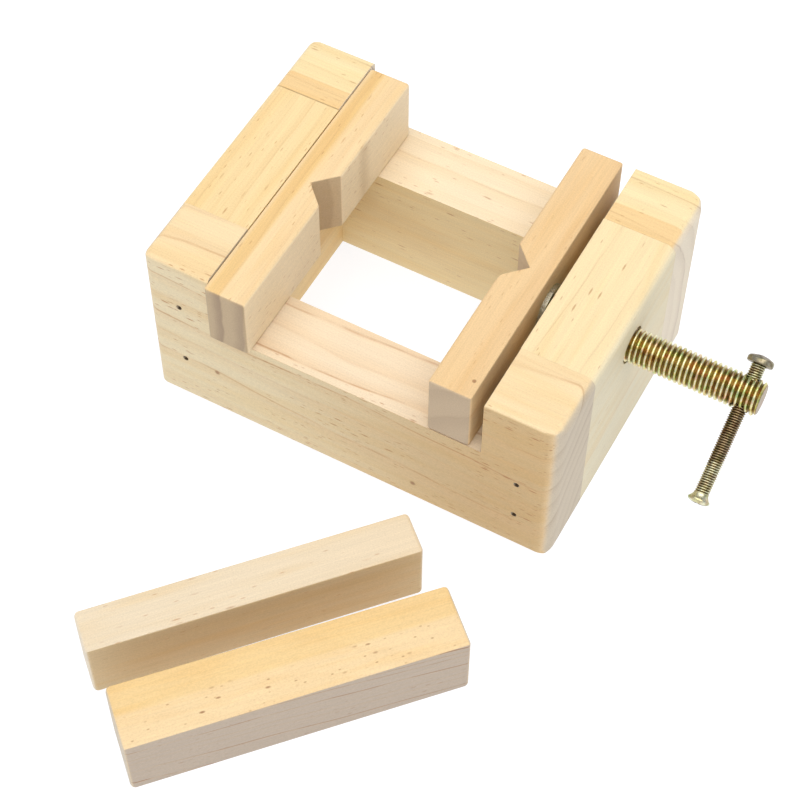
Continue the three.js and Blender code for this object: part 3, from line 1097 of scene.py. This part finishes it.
    def rail(self, side: str, finish: SandedPine) -> Piece:
        """Builds one side rail: a board with its top cut down between the ends for the jaws.

        Args:
            side: "near" or "far".
            finish: its wood.

        Returns:
            The rail.
        """
        low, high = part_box(f"{side}_side_rail")
        outline = [
            (self.left, 0.0), (self.right, 0.0), (self.right, self.top), (self.right_face, self.top),
            (self.right_face, self.seat), (self.left_face, self.seat), (self.left_face, self.top),
            (self.left, self.top)
        ]
        outer = low.y if side == "near" else high.y
        piece = new_object(f"{side}_rail_board", raised(outline, Plane.SIDE, low.y, high.y))
        round_over(piece, self.edge_radius(outer), self.round_steps)
        holes = brad_holes(side)
        # Painted shade in each brad hole, centred this far into the wood.
        depth = self.brad_hole_shade.place[1]
        depth = low.y / MM + depth if side == "near" else high.y / MM - depth
        heads = [hole.matrix_world.translation / MM for hole in holes]
        hole_shades = tuple(replace(self.brad_hole_shade, place=(head.x, depth, head.z)) for head in heads)
        finish = replace(finish, knots_and_hole_shades=finish.knots_and_hole_shades + hole_shades)
        combine(piece, holes, "DIFFERENCE")
        ease_edges(piece, SEAM_WIDTH * MM)
        hand_over(piece, finish.material(f"{side}_rail_pine"), "frame", "rail_pine", f"{side}_side_rail")
        return piece

    def end_block(self, node: str, finish: SandedPine, cutters: Iterable[Piece]) -> Piece:
        """Builds one end block, glued between the rails.

        Args:
            node: its CAD node.
            finish: its wood.
            cutters: what is cut out of it besides the brad holes.

        Returns:
            The end block.
        """
        low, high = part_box(node)
        outline = [(low.x, 0.0), (high.x, 0.0), (high.x, self.top), (low.x, self.top)]
        piece = new_object(f"{node}_board", raised(outline, Plane.SIDE, low.y, high.y))
        round_over(piece, self.edge_radius(None), self.round_steps)
        combine(piece, [*cutters, *brad_holes("near"), *brad_holes("far")], "DIFFERENCE")
        ease_edges(piece, SEAM_WIDTH * MM)
        hand_over(piece, finish.material(f"{node}_pine"), "frame", "end_block_pine", node)
        return piece

    def screw_openings(self) -> list[Piece]:
        """Cutters for the clamp screw's hole and the tee nut's seat.

        Returns:
            The cutters.
        """
        nut_low, nut_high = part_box("tee_nut")
        screw_low, screw_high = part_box("clamp_screw")
        flange = (nut_high.y - nut_low.y) / 2 + self.nut_clearance * MM
        hole = (screw_high.y - screw_low.y) / 2 + self.screw_hole_clearance * MM
        barrel = hole + self.nut_barrel_wall * MM
        start = self.right_face - self.cutter_run * MM
        flange_depth = nut_low.x + self.nut_flange * MM
        barrel_end = nut_high.x + self.nut_clearance * MM
        stop = self.right + self.cutter_run * MM
        profile = [
            (start, 0), (start, flange), (flange_depth, flange), (flange_depth, barrel),
            (barrel_end, barrel), (barrel_end, hole), (stop, hole), (stop, 0)
        ]
        return [new_object("screw_opening", turned(profile, MANY_FACETS), along_x("clamp_screw"))]

    def build(self) -> None:
        """Builds and dresses the frame's four boards."""
        self.rail("near", self.near_pine)
        self.rail("far", self.far_pine)
        self.end_block("fixed_end_block", self.fixed_end_pine, [])
        self.end_block("screw_end_block", self.screw_end_pine, self.screw_openings())


def along_x(node: str) -> Matrix:
    """The frame whose Z axis runs through a round node, with heights counted as the part's X."""
    centre = middle(node)
    return Matrix.Translation((0, centre.y, centre.z)) @ Matrix.Rotation(math.pi / 2, 4, "Y")


@dataclass
class Jaw:
    """One jaw bar with a right-angled notch across its face, standing on the rails."""

    node: str
    facing: int
    finish: SandedPine
    notch_depth: float = 7.5
    edge_radius: float = 1.2
    lip_radius: float = 0.5
    worn_lip_radius: float = 0.5
    bore_edge: float = 0.15
    bore_edge_angle: float = 60.0
    round_steps: int = 6

    def radius(self, first: Vector, second: Vector) -> float:
        """The radius of an edge of the bar.

        Args:
            first: one end of the edge.
            second: the other end.

        Returns:
            The radius in metres; the notch's own edges keep a crisp lip.
        """
        from_notch = (first.y + second.y) / 2 - middle(self.node).y
        at_notch = abs(from_notch) < self.notch_depth * MM + TINY
        upright = abs(second.z - first.z) > TINY
        if upright and near(from_notch, -self.notch_depth * MM):
            return self.worn_lip_radius * MM
        return (self.lip_radius if at_notch else self.edge_radius) * MM

    def build(self, cutters: Iterable[Piece] = ()) -> Piece:
        """Builds and dresses the jaw.

        Args:
            cutters: what is cut out of its back.

        Returns:
            The jaw.
        """
        low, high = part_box(self.node)
        back, front = (low.x, high.x) if self.facing > 0 else (high.x, low.x)
        centre = (low.y + high.y) / 2
        depth = self.notch_depth * MM
        outline = [
            (back, low.y), (front, low.y), (front, centre - depth), (front - self.facing * depth, centre),
            (front, centre + depth), (front, high.y), (back, high.y)
        ]
        piece = new_object(f"{self.node}_bar", raised(outline, Plane.PLAN, low.z, high.z))
        round_over(piece, self.radius, self.round_steps)
        cutters = list(cutters)
        if cutters:
            combine(piece, cutters, "DIFFERENCE")
            ease_edges(piece, self.bore_edge * MM, self.bore_edge_angle)
        hand_over(piece, self.finish.material(f"{self.node}_pine"), self.node, "jaw_pine", self.node)
        return piece


@dataclass
class JawPair:
    """The loose fixed-side jaw, and the moving jaw with its seat for the thrust plate."""

    counterbore_clearance: float = 0.5
    spigot_clearance: float = 0.8
    pin_clearance: float = 0.15
    worn_lip_radius: float = 2.2
    # A planed bar with grey-brown end grain; its notched face, inside the vise, is painted paler to lift
    # the shade there.
    fixed_pine: SandedPine = SandedPine(
        Grain.Y, pith=(-60.0, 62.0), ring_width=7.5, line_share=0.25, early="#E5CBA0", late="#D3AB77",
        end_early="#B6A080", end_late="#8B745E", end_share=0.8, dash_share=0.2,
        stripes=(
            Stripe(0, 13.9, 18.6, "#F8EFD4", 1.0),
            # Painted light: the notched face is made paler against the shade inside the vise.
            Stripe(0, 27.0, 30.0, "#EAD8B7", facing=0, change=Change.COVER, share=0.9),
            Stripe(1, 17.0, 22.0, "#EAE5E0", 3.5, facing=0)
        )
    )
    # A darker, wider-ringed bar, handled until it is nearly plain.
    moving_pine: SandedPine = SandedPine(
        Grain.Y, pith=(160.0, -30.0), ring_width=12.0, line_share=0.2, early="#DEC093", late="#CCA26E",
        end_early="#BCA88D", end_late="#9C866F", dash_share=0.3, dash_strength=0.4,
        knots_and_hole_shades=(PinKnotOrHoleShade((104.7, -48.3, 70.0), 0.9),)
    )

    def seat_openings(self) -> list[Piece]:
        """Cutters for the clip's counterbore and the two plate pins.

        Returns:
            The cutters.
        """
        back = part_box("moving_jaw")[1].x + MM
        low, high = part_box("retaining_clip")
        radius = (high.z - low.z) / 2 + self.counterbore_clearance * MM
        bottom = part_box("clamp_screw")[0].x - self.spigot_clearance * MM
        screw_place = along_x("clamp_screw")
        openings = [new_object("counterbore", turned(plug(bottom, back, radius), FACETS), screw_place)]
        gap = self.pin_clearance * MM
        for pin in ("plate_pin_1", "plate_pin_2"):
            low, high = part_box(pin)
            profile = plug(low.x - gap, back, (high.z - low.z) / 2 + gap)
            openings.append(new_object("pin_hole", turned(profile, PIN_FACETS), along_x(pin)))
        return openings

    def build(self) -> None:
        """Builds and dresses both jaws."""
        Jaw("fixed_side_jaw", 1, self.fixed_pine).build()
        moving = Jaw("moving_jaw", -1, self.moving_pine, worn_lip_radius=self.worn_lip_radius)
        moving.build(self.seat_openings())


@dataclass
class PackingBlock:
    """A loose square-sawn block that fills the space behind the work."""

    node: str
    slot: str
    turn: float
    finish: SandedPine
    thickness: float
    length: float = 110.0
    edge_radius: float = 0.5
    end_radius: float = 1.5
    round_steps: int = 6

    def radius(self, first: Vector, second: Vector) -> float:
        """The radius of an edge of the block.

        Args:
            first: one end of the edge.
            second: the other end.

        Returns:
            The radius in metres; the ends are rounded more than the long edges.
        """
        along = abs(second.x - first.x) > TINY
        return (self.edge_radius if along else self.end_radius) * MM

    def build(self) -> Piece:
        """Builds and dresses the block, with its own X axis along its length.

        Returns:
            The block.
        """
        centre = middle(self.node)
        centre.z = 0.0
        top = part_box(self.node)[1].z
        outline = rectangle(self.length / 2 * MM, self.thickness / 2 * MM)
        place = Matrix.Translation(centre) @ Matrix.Rotation(math.radians(self.turn), 4, "Z")
        piece = new_object(f"{self.node}_bar", raised(outline, Plane.PLAN, 0.0, top), place)
        round_over(piece, self.radius, self.round_steps)
        hand_over(piece, self.finish.material(f"{self.node}_pine"), self.node, self.slot, self.node)
        return piece


@dataclass
class PackingBlocks:
    """The two loose blocks on the bench."""

    thin_thickness: float = 15.0
    thin_turn: float = 48.1
    thick_thickness: float = 22.0
    thick_turn: float = 47.6
    # A plain, pale and slightly grey stick. Its front face, which looks onto the thick block, is painted
    # warmer and darker for the light that block bounces onto it and the shade it casts.
    thin_pine: SandedPine = SandedPine(
        Grain.X, pith=(6.0, 160.0), ring_width=12.0, line_share=0.1, early="#DACCB4", late="#CEB28A",
        # Painted bounce light and shade on the front face, which looks onto the thick block.
        dash_share=0.3, stripes=(Stripe(1, -10.0, -7.0, "#EEE2C8", 0.3, facing=1),)
    )
    # A yellow stick with close rings: its front face is grey and streaked, and the front half of its
    # top is dashed.
    thick_pine: SandedPine = SandedPine(
        Grain.X, pith=(-30.0, -160.0), ring_width=2.6, line_width=0.85, line_share=1.0, line_facing=1,
        end_early="#C8BBA6", early="#E3CAA0", late="#D0AB76", dash="#8F5E36", ring_share=0.12,
        dash_share=0.35, dash_strength=0.8, dash_length=0.55, dash_width=1.25, dash_zone=(1, -10.7, 0.5),
        run_out=0.07,
        stripes=(
            Stripe(1, 0.5, 20.0, "#FBF6E3", 1.0),
            Stripe(1, -20.0, -10.5, "#AFA091", 0.2, facing=1, change=Change.COVER, share=0.9)
        )
    )

    def build(self) -> None:
        """Builds and dresses both blocks."""
        for node, slot, turn, finish, thickness in (
            (
                "thin_packing_block", "pale_packing_pine", self.thin_turn, self.thin_pine,
                self.thin_thickness
            ),
            (
                "thick_packing_block", "yellow_packing_pine", self.thick_turn, self.thick_pine,
                self.thick_thickness
            )
        ):
            PackingBlock(node, slot, turn, finish, thickness).build()


# Metal pieces

@dataclass
class ClampScrew:
    """The threaded clamp screw with its spigot and cross hole."""

    thread: MetricThread = MetricThread(11.9, 1.75, 48)
    chamfer: float = 1.0
    spigot_diameter: float = 6.0
    groove_depth: float = 0.6
    groove_clearance: float = 0.05
    spigot_ease: float = 0.4
    spigot_overlap: float = 2.0
    shoulder_gap: float = 0.1
    hole_diameter: float = 5.4
    hole_reach: float = 12.0
    hole_facets: int = 40
    # Yellow-chromated zinc on a rolled thread: bright straw crests over brown roots, which are partly
    # painted highlight and painted shade, with patches of yellow, green and pink.
    plating: FilmedSteel = FilmedSteel(
        crest="#E9E3BE", flank="#D6CB86", root="#92794F", tints=("#EFDA5C", "#A4DA90", "#F0B2B6"),
        patch_mm=2.8, across=(0.0, 1.0, 1.0)
    )

    def spigot(self) -> Piece:
        """Builds the plain end that turns in the thrust plate, with its clip groove.

        Returns:
            The spigot, with its free end eased.
        """
        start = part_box("clamp_screw")[0].x
        clip_low, clip_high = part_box("retaining_clip")
        radius = self.spigot_diameter / 2 * MM
        groove = radius - self.groove_depth * MM
        gap = self.groove_clearance * MM
        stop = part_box("thrust_plate")[1].x + self.spigot_overlap * MM
        ease = self.spigot_ease * MM
        profile = [
            (start, 0), (start, radius - ease), (start + ease, radius), (clip_low.x - gap, radius),
            (clip_low.x - gap, groove), (clip_high.x + gap, groove), (clip_high.x + gap, radius),
            (stop, radius), (stop, 0)
        ]
        return new_object("spigot", turned(profile, FACETS), along_x("clamp_screw"))

    def build(self) -> Piece:
        """Builds and dresses the screw.

        Returns:
            The screw.
        """
        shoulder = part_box("thrust_plate")[1].x + self.shoulder_gap * MM
        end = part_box("clamp_screw")[1].x
        work = self.thread.rod(shoulder, end, self.chamfer * MM)
        piece = new_object("clamp_screw_rod", work, along_x("clamp_screw"))
        piece.data.transform(piece.matrix_world)
        piece.matrix_world = Matrix.Identity(4)
        combine(piece, [self.spigot()], "UNION")
        reach = self.hole_reach * MM
        hole = turned(plug(-reach, reach, self.hole_diameter / 2 * MM), self.hole_facets)
        combine(piece, [new_object("cross_hole", hole, tommy_bar_place())], "DIFFERENCE")
        centre = middle("clamp_screw") / MM
        finish = replace(
            self.plating, axis_place=(0.0, centre.y, centre.z), root_radius=self.thread.root_radius,
            crest_radius=self.thread.diameter / 2
        )
        hand_over(piece, finish.material("clamp_screw_zinc"), "clamp_screw", "yellow_zinc", "clamp_screw")
        return piece


def tommy_bar_place() -> Matrix:
    """The frame whose Z axis is the tommy bar's, with its origin on the clamp screw's axis.

    Returns:
        The frame's place.
    """
    slide = next(joint for joint in frame["joints"] if joint["child"] == "tommy_bar")
    direction = Vector(slide["axis"]).normalized()
    screw = middle("clamp_screw")
    origin = Vector((middle("tommy_bar").x, screw.y, screw.z))
    return Matrix.Translation(origin) @ direction.to_track_quat("Z", "Y").to_matrix().to_4x4()


@dataclass
class TommyBar:
    """The sliding bar: a machine screw with a countersunk head, and a peened cap on its other end."""

    thread: MetricThread = MetricThread(5.0, 0.8, 28, depth_share=0.5)
    head_diameter: float = 7.4
    rim_height: float = 1.2
    flare: float = 2.2
    recess_span: float = 3.8
    recess_width: float = 0.9
    recess_depth: float = 1.6
    round_edge: float = 0.35
    rim_draft: float = 0.1
    neck_draft: float = 0.15
    dome_squash: float = 0.96
    profile_steps: int = 8
    rod_chamfer: float = 0.4
    socket_gap: float = 0.1
    cap_edge: float = 0.45
    cap_facets: int = 40
    blow_count: int = 14
    blow_lean: tuple[float, float] = (12.0, 62.0)
    blow_depth: tuple[float, float] = (0.08, 0.22)
    seed: int = 7
    # Drawn bar under the same chromate, thinner and greyer, browned for a stretch by handling.
    plating: FilmedSteel = FilmedSteel(
        crest="#DBDABB", flank="#B4AF86", root="#7A6A4C", tints=("#D9CF98", "#B4D0A0", "#C8A08C"),
        patch_mm=3.0, tarnish=(-24.0, -2.0)
    )
    # Hammered end with its plating mostly gone: dull grey-brown, with soft highlights on its flats.
    cap_plating: FilmedSteel = FilmedSteel(
        crest="#A39C86", flank="#8A7C66", root="#54483A", tints=("#C9B488", "#A9B08E", "#B08E80"),
        patch_mm=2.0, low_roughness=0.25, high_roughness=0.5
    )

    def head(self, low: float) -> Piece:
        """Builds the flared head with its cross recess.

        Args:
            low: the head's end on the bar's axis, in metres.

        Returns:
            The head, reaching a little way up the shank.
        """
        rim = self.head_diameter / 2 * MM
        neck = self.thread.diameter / 2 * MM
        dome = self.rim_height * MM
        round_edge = self.round_edge * MM
        edge = rim - self.rim_draft * MM
        shares = [step / self.profile_steps for step in range(1, self.profile_steps + 1)]
        profile = [(low, 0)]
        for share in shares:
            rise = 1 - math.sqrt(1 - self.dome_squash * share * share)
            profile.append((low + dome * rise, edge * share))
        widest = profile[-1][0]
        start = widest + 2 * round_edge
        profile += [(widest + round_edge, rim), (start, edge)]
        for share in shares:
            radius = neck + (edge - neck) * (1 - share) ** 2
            profile.append((start + self.flare * MM * share, radius - self.neck_draft * MM * share))
        profile.append((profile[-1][0] + MM, 0))
        piece = new_object("bar_head", turned(profile, FACETS), tommy_bar_place())
        outline = rectangle(self.recess_span / 2 * MM, self.recess_width / 2 * MM)
        slots = []
        for turn in (0, math.pi / 2):
            work = raised(outline, Plane.PLAN, low - MM, low + self.recess_depth * MM)
            slots.append(new_object("recess", work, tommy_bar_place() @ Matrix.Rotation(turn, 4, "Z")))
        combine(piece, slots, "DIFFERENCE")
        return piece

    def bar(self) -> Piece:
        """Builds and dresses the threaded bar.

        Returns:
            The bar.
        """
        place = tommy_bar_place()
        low, high = reach_along("tommy_bar", place)
        start = low + (self.rim_height + self.flare / 2) * MM
        piece = new_object("tommy_bar_rod", self.thread.rod(start, high, self.rod_chamfer * MM), place)
        combine(piece, [self.head(low)], "UNION")
        finish = replace(
            self.plating, root_radius=self.thread.root_radius, crest_radius=self.thread.diameter / 2
        )
        hand_over(piece, finish.material("tommy_bar_zinc"), "tommy_bar", "yellow_zinc", "tommy_bar")
        return piece

    def hammer(self, cap: Piece, foot: Vector) -> None:
        """Presses the flats that blows leave into the cap.

        Args:
            cap: the cap.
            foot: the middle of its lower end, in its own frame.
        """
        blows = random.Random(self.seed)
        flats = []
        for _ in range(self.blow_count):
            turn = blows.uniform(0, math.tau)
            lean = math.radians(blows.uniform(*self.blow_lean))
            side = Vector((math.cos(turn) * math.sin(lean), math.sin(turn) * math.sin(lean), math.cos(lean)))
            reach = max((corner.co - foot).dot(side) for corner in cap.data.vertices)
            flats.append((side, reach - blows.uniform(*self.blow_depth) * MM))
        for corner in cap.data.vertices:
            for side, reach in flats:
                over = (corner.co - foot).dot(side) - reach
                if over > 0:
                    corner.co -= side * over

    def cap(self) -> Piece:
        """Builds and dresses the cap, with the flats that peening leaves.

        Returns:
            The cap.
        """
        place = tommy_bar_place()
        low, high = reach_along("tommy_bar_cap", place)
        box_low, box_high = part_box("tommy_bar_cap")
        radius = (box_high.x - box_low.x) / 2
        bottom = reach_along("tommy_bar", place)[1] + self.socket_gap * MM
        socket = (self.thread.diameter / 2 + self.socket_gap) * MM
        edge = self.cap_edge * MM
        height = high - low
        profile = [
            (bottom, 0), (bottom, socket), (low, socket), (low, radius - edge),
            (low + edge * 0.35, radius - edge * 0.3), (low + edge, radius), (low + height * 0.5, radius),
            (low + height * 0.62, radius - edge * 0.35), (low + height * 0.72, radius - edge * 1.1),
            (low + height * 0.84, radius * 0.68), (low + height * 0.95, radius * 0.4), (high, 0)
        ]
        piece = new_object("tommy_bar_peened_cap", turned(profile, self.cap_facets), place)
        self.hammer(piece, Vector((0, 0, low)))
        finish = replace(self.cap_plating, crest_radius=radius / MM)
        hand_over(piece, finish.material("tommy_cap_zinc"), "tommy_bar", "yellow_zinc", "tommy_bar_cap")
        return piece

    def build(self) -> None:
        """Builds the bar and its cap."""
        self.bar()
        self.cap()


@dataclass
class SmallHardware:
    """The stamped and drawn pieces whose CAD shapes are kept: plate, pins, clip, tee nut and brads."""

    edge_radius: float = 0.12
    edge_angle: float = 40.0
    edge_steps: int = 2
    # Zinc under a clear chromate: cool and bright, with faint rainbow patches.
    bright_zinc: FilmedSteel = FilmedSteel(
        crest="#CDD1C6", flank="#BFC4B8", root="#B0B5A8", tints=("#E6E8C8", "#CFE2C4", "#E2D6D2"),
        patch_mm=5.0, crest_radius=20.0
    )
    # Hardened and oiled: nearly black, with a sheen.
    spring_steel: FilmedSteel = FilmedSteel(
        crest="#5A5753", flank="#4A4744", root="#3A3835", tints=("#C8C0B0", "#B8BCC0", "#C8B8B0"),
        patch_mm=2.0, crest_radius=10.0
    )
    # Drawn wire stained by the wood's acids: dark brown at the bottom of its punched hole.
    brad_steel: FilmedSteel = FilmedSteel(
        crest="#4A3018", flank="#3E2814", root="#2E1E10", tints=("#C8B8A0", "#B8B4A8", "#C0A090"),
        patch_mm=1.5, crest_radius=10.0
    )

    def dress(self, node: str, finish: bpy.types.Material) -> None:
        """Eases a CAD node's edges and gives it a finish.

        Args:
            node: the node.
            finish: its material.
        """
        piece = frame["nodes"][node]
        piece.data.materials.clear()
        piece.data.materials.append(finish)
        bevel = piece.modifiers.new("stamped edge", "BEVEL")
        bevel.limit_method = "ANGLE"
        bevel.angle_limit = math.radians(self.edge_angle)
        bevel.width = self.edge_radius * MM
        bevel.segments = self.edge_steps
        smooth(piece, self.edge_angle)
        LOG.info("%s keeps its CAD shape", node)

    def build(self) -> None:
        """Dresses every kept node."""
        bright = self.bright_zinc.material("bright_zinc")
        spring = self.spring_steel.material("oiled_spring_steel")
        drawn = self.brad_steel.material("drawn_brad_steel")
        for node in ("thrust_plate", "plate_pin_1", "plate_pin_2", "tee_nut"):
            self.dress(node, bright)
        self.dress("retaining_clip", spring)
        for node in brad_nodes(""):
            self.dress(node, drawn)


# Studio


@dataclass(frozen=True)
class SoftLight:
    """A square soft box: its place, aim point and size in metres, its power and its colour."""

    name: str
    place: Place
    aim: Place
    size: float
    power: float
    colour: str

    def build(self) -> None:
        """Hangs the light."""
        light = bpy.data.lights.new(self.name, "AREA")
        light.shape = "SQUARE"
        light.size = self.size
        light.energy = self.power
        light.color = linear(self.colour)[:3]
        lamp = bpy.data.objects.new(self.name, light)
        lamp.location = self.place
        lamp.rotation_euler = (Vector(self.aim) - Vector(self.place)).to_track_quat("-Z", "Y").to_euler()
        bpy.context.scene.collection.objects.link(lamp)


@dataclass(frozen=True)
class Studio:
    """A white table under soft boxes, and the camera."""

    eye: Place = (0.2621, -0.3886, 0.5928)
    azimuth: float = 28.304
    elevation: float = 54.933
    roll: float = 0.428
    lens: float = 94.16
    sensor: float = 36.0
    near_clip: float = 0.01
    floor_gap: float = 0.2
    floor_half_side: float = 6.0
    floor_thickness: float = 0.01
    floor_glow: float = 0.8
    sky_strength: float = 0.46
    horizon_strength: float = 1.05
    ceiling_power: float = 2.7
    ceiling_spread: float = 75.0
    ceiling_tilt: float = 5.0
    front_box: SoftLight = SoftLight(
        "front_box", (-0.5, -1.4, 0.6), (0.05, -0.05, 0.03), 0.9, 1.5, "#F2F6FF"
    )

    def camera(self) -> None:
        """Stands the camera and makes it the scene's own."""
        lens = bpy.data.cameras.new("camera")
        lens.lens = self.lens
        lens.sensor_width = self.sensor
        lens.clip_start = self.near_clip
        around, up_angle, roll = (math.radians(a) for a in (self.azimuth, self.elevation, self.roll))
        out = math.cos(up_angle)
        ahead = Vector((-math.sin(around) * out, math.cos(around) * out, -math.sin(up_angle)))
        right = ahead.cross(Vector((0, 0, 1))).normalized()
        up = right.cross(ahead)
        level = Matrix((right, up, -ahead)).transposed().to_4x4()
        camera = bpy.data.objects.new("camera", lens)
        camera.matrix_world = Matrix.Translation(self.eye) @ level @ Matrix.Rotation(roll, 4, "Z")
        bpy.context.scene.collection.objects.link(camera)
        bpy.context.scene.camera = camera

    def floor(self) -> None:
        """Lays the white table top just under the object."""
        outline = rectangle(self.floor_half_side, self.floor_half_side)
        top = -self.floor_gap * MM
        table = new_object("table_top", raised(outline, Plane.PLAN, top - self.floor_thickness, top))
        # A backlit opal sheet: it stays white and lightens the shadows of what stands on it.
        material, add = new_material("backlit_opal_acrylic")
        grit = add("TexNoise", {"Scale": 40.0, "Detail": 2.0})
        roughness = add("MapRange", {"Value": grit, "To Min": 0.7, "To Max": 0.9})
        finish_surface(
            add,
            {
                "Base Color": linear("#999999"), "Roughness": roughness,
                "Emission Color": linear("#F6F9FF"), "Emission Strength": self.floor_glow
            }
        )
        table.data.materials.append(material)

    def room(self) -> None:
        """Fills the room with pale light, brightest at the horizon."""
        world = bpy.data.worlds.new("studio")
        world.use_nodes = True
        add = partial(add_node, world.node_tree)
        background = world.node_tree.nodes["Background"]
        background.inputs["Color"].default_value = linear("#EDF3FF")
        height = add("SeparateXYZ", {0: add("TexCoord", {}, "Generated")}, 2)
        strength = add(
            "MapRange",
            {
                "Value": height, "From Min": 0.1, "From Max": 0.45, "To Min": self.horizon_strength,
                "To Max": self.sky_strength
            },
            interpolation_type="SMOOTHSTEP"
        )
        world.node_tree.links.new(strength, background.inputs["Strength"])
        bpy.context.scene.world = world

    def ceiling(self) -> None:
        """Lights everything softly from overhead, as a wide diffused ceiling does."""
        light = bpy.data.lights.new("ceiling", "SUN")
        light.energy = self.ceiling_power
        light.angle = math.radians(self.ceiling_spread)
        light.color = linear("#FFF6E6")[:3]
        lamp = bpy.data.objects.new("ceiling", light)
        tilt = math.radians(self.ceiling_tilt)
        lamp.rotation_euler = (tilt, tilt, 0)
        bpy.context.scene.collection.objects.link(lamp)

    def build(self) -> None:
        """Sets the studio up."""
        bpy.context.scene.view_settings.view_transform = "Standard"
        self.camera()
        self.floor()
        self.room()
        self.ceiling()
        self.front_box.build()


def main() -> None:
    """Builds the vise piece by piece, then the studio round it."""
    logging.basicConfig(level=logging.INFO, format="%(name)s: %(message)s")
    BoxFrame().build()
    JawPair().build()
    PackingBlocks().build()
    ClampScrew().build()
    TommyBar().build()
    SmallHardware().build()
    Studio().build()


if __name__ == "__main__":
    main()
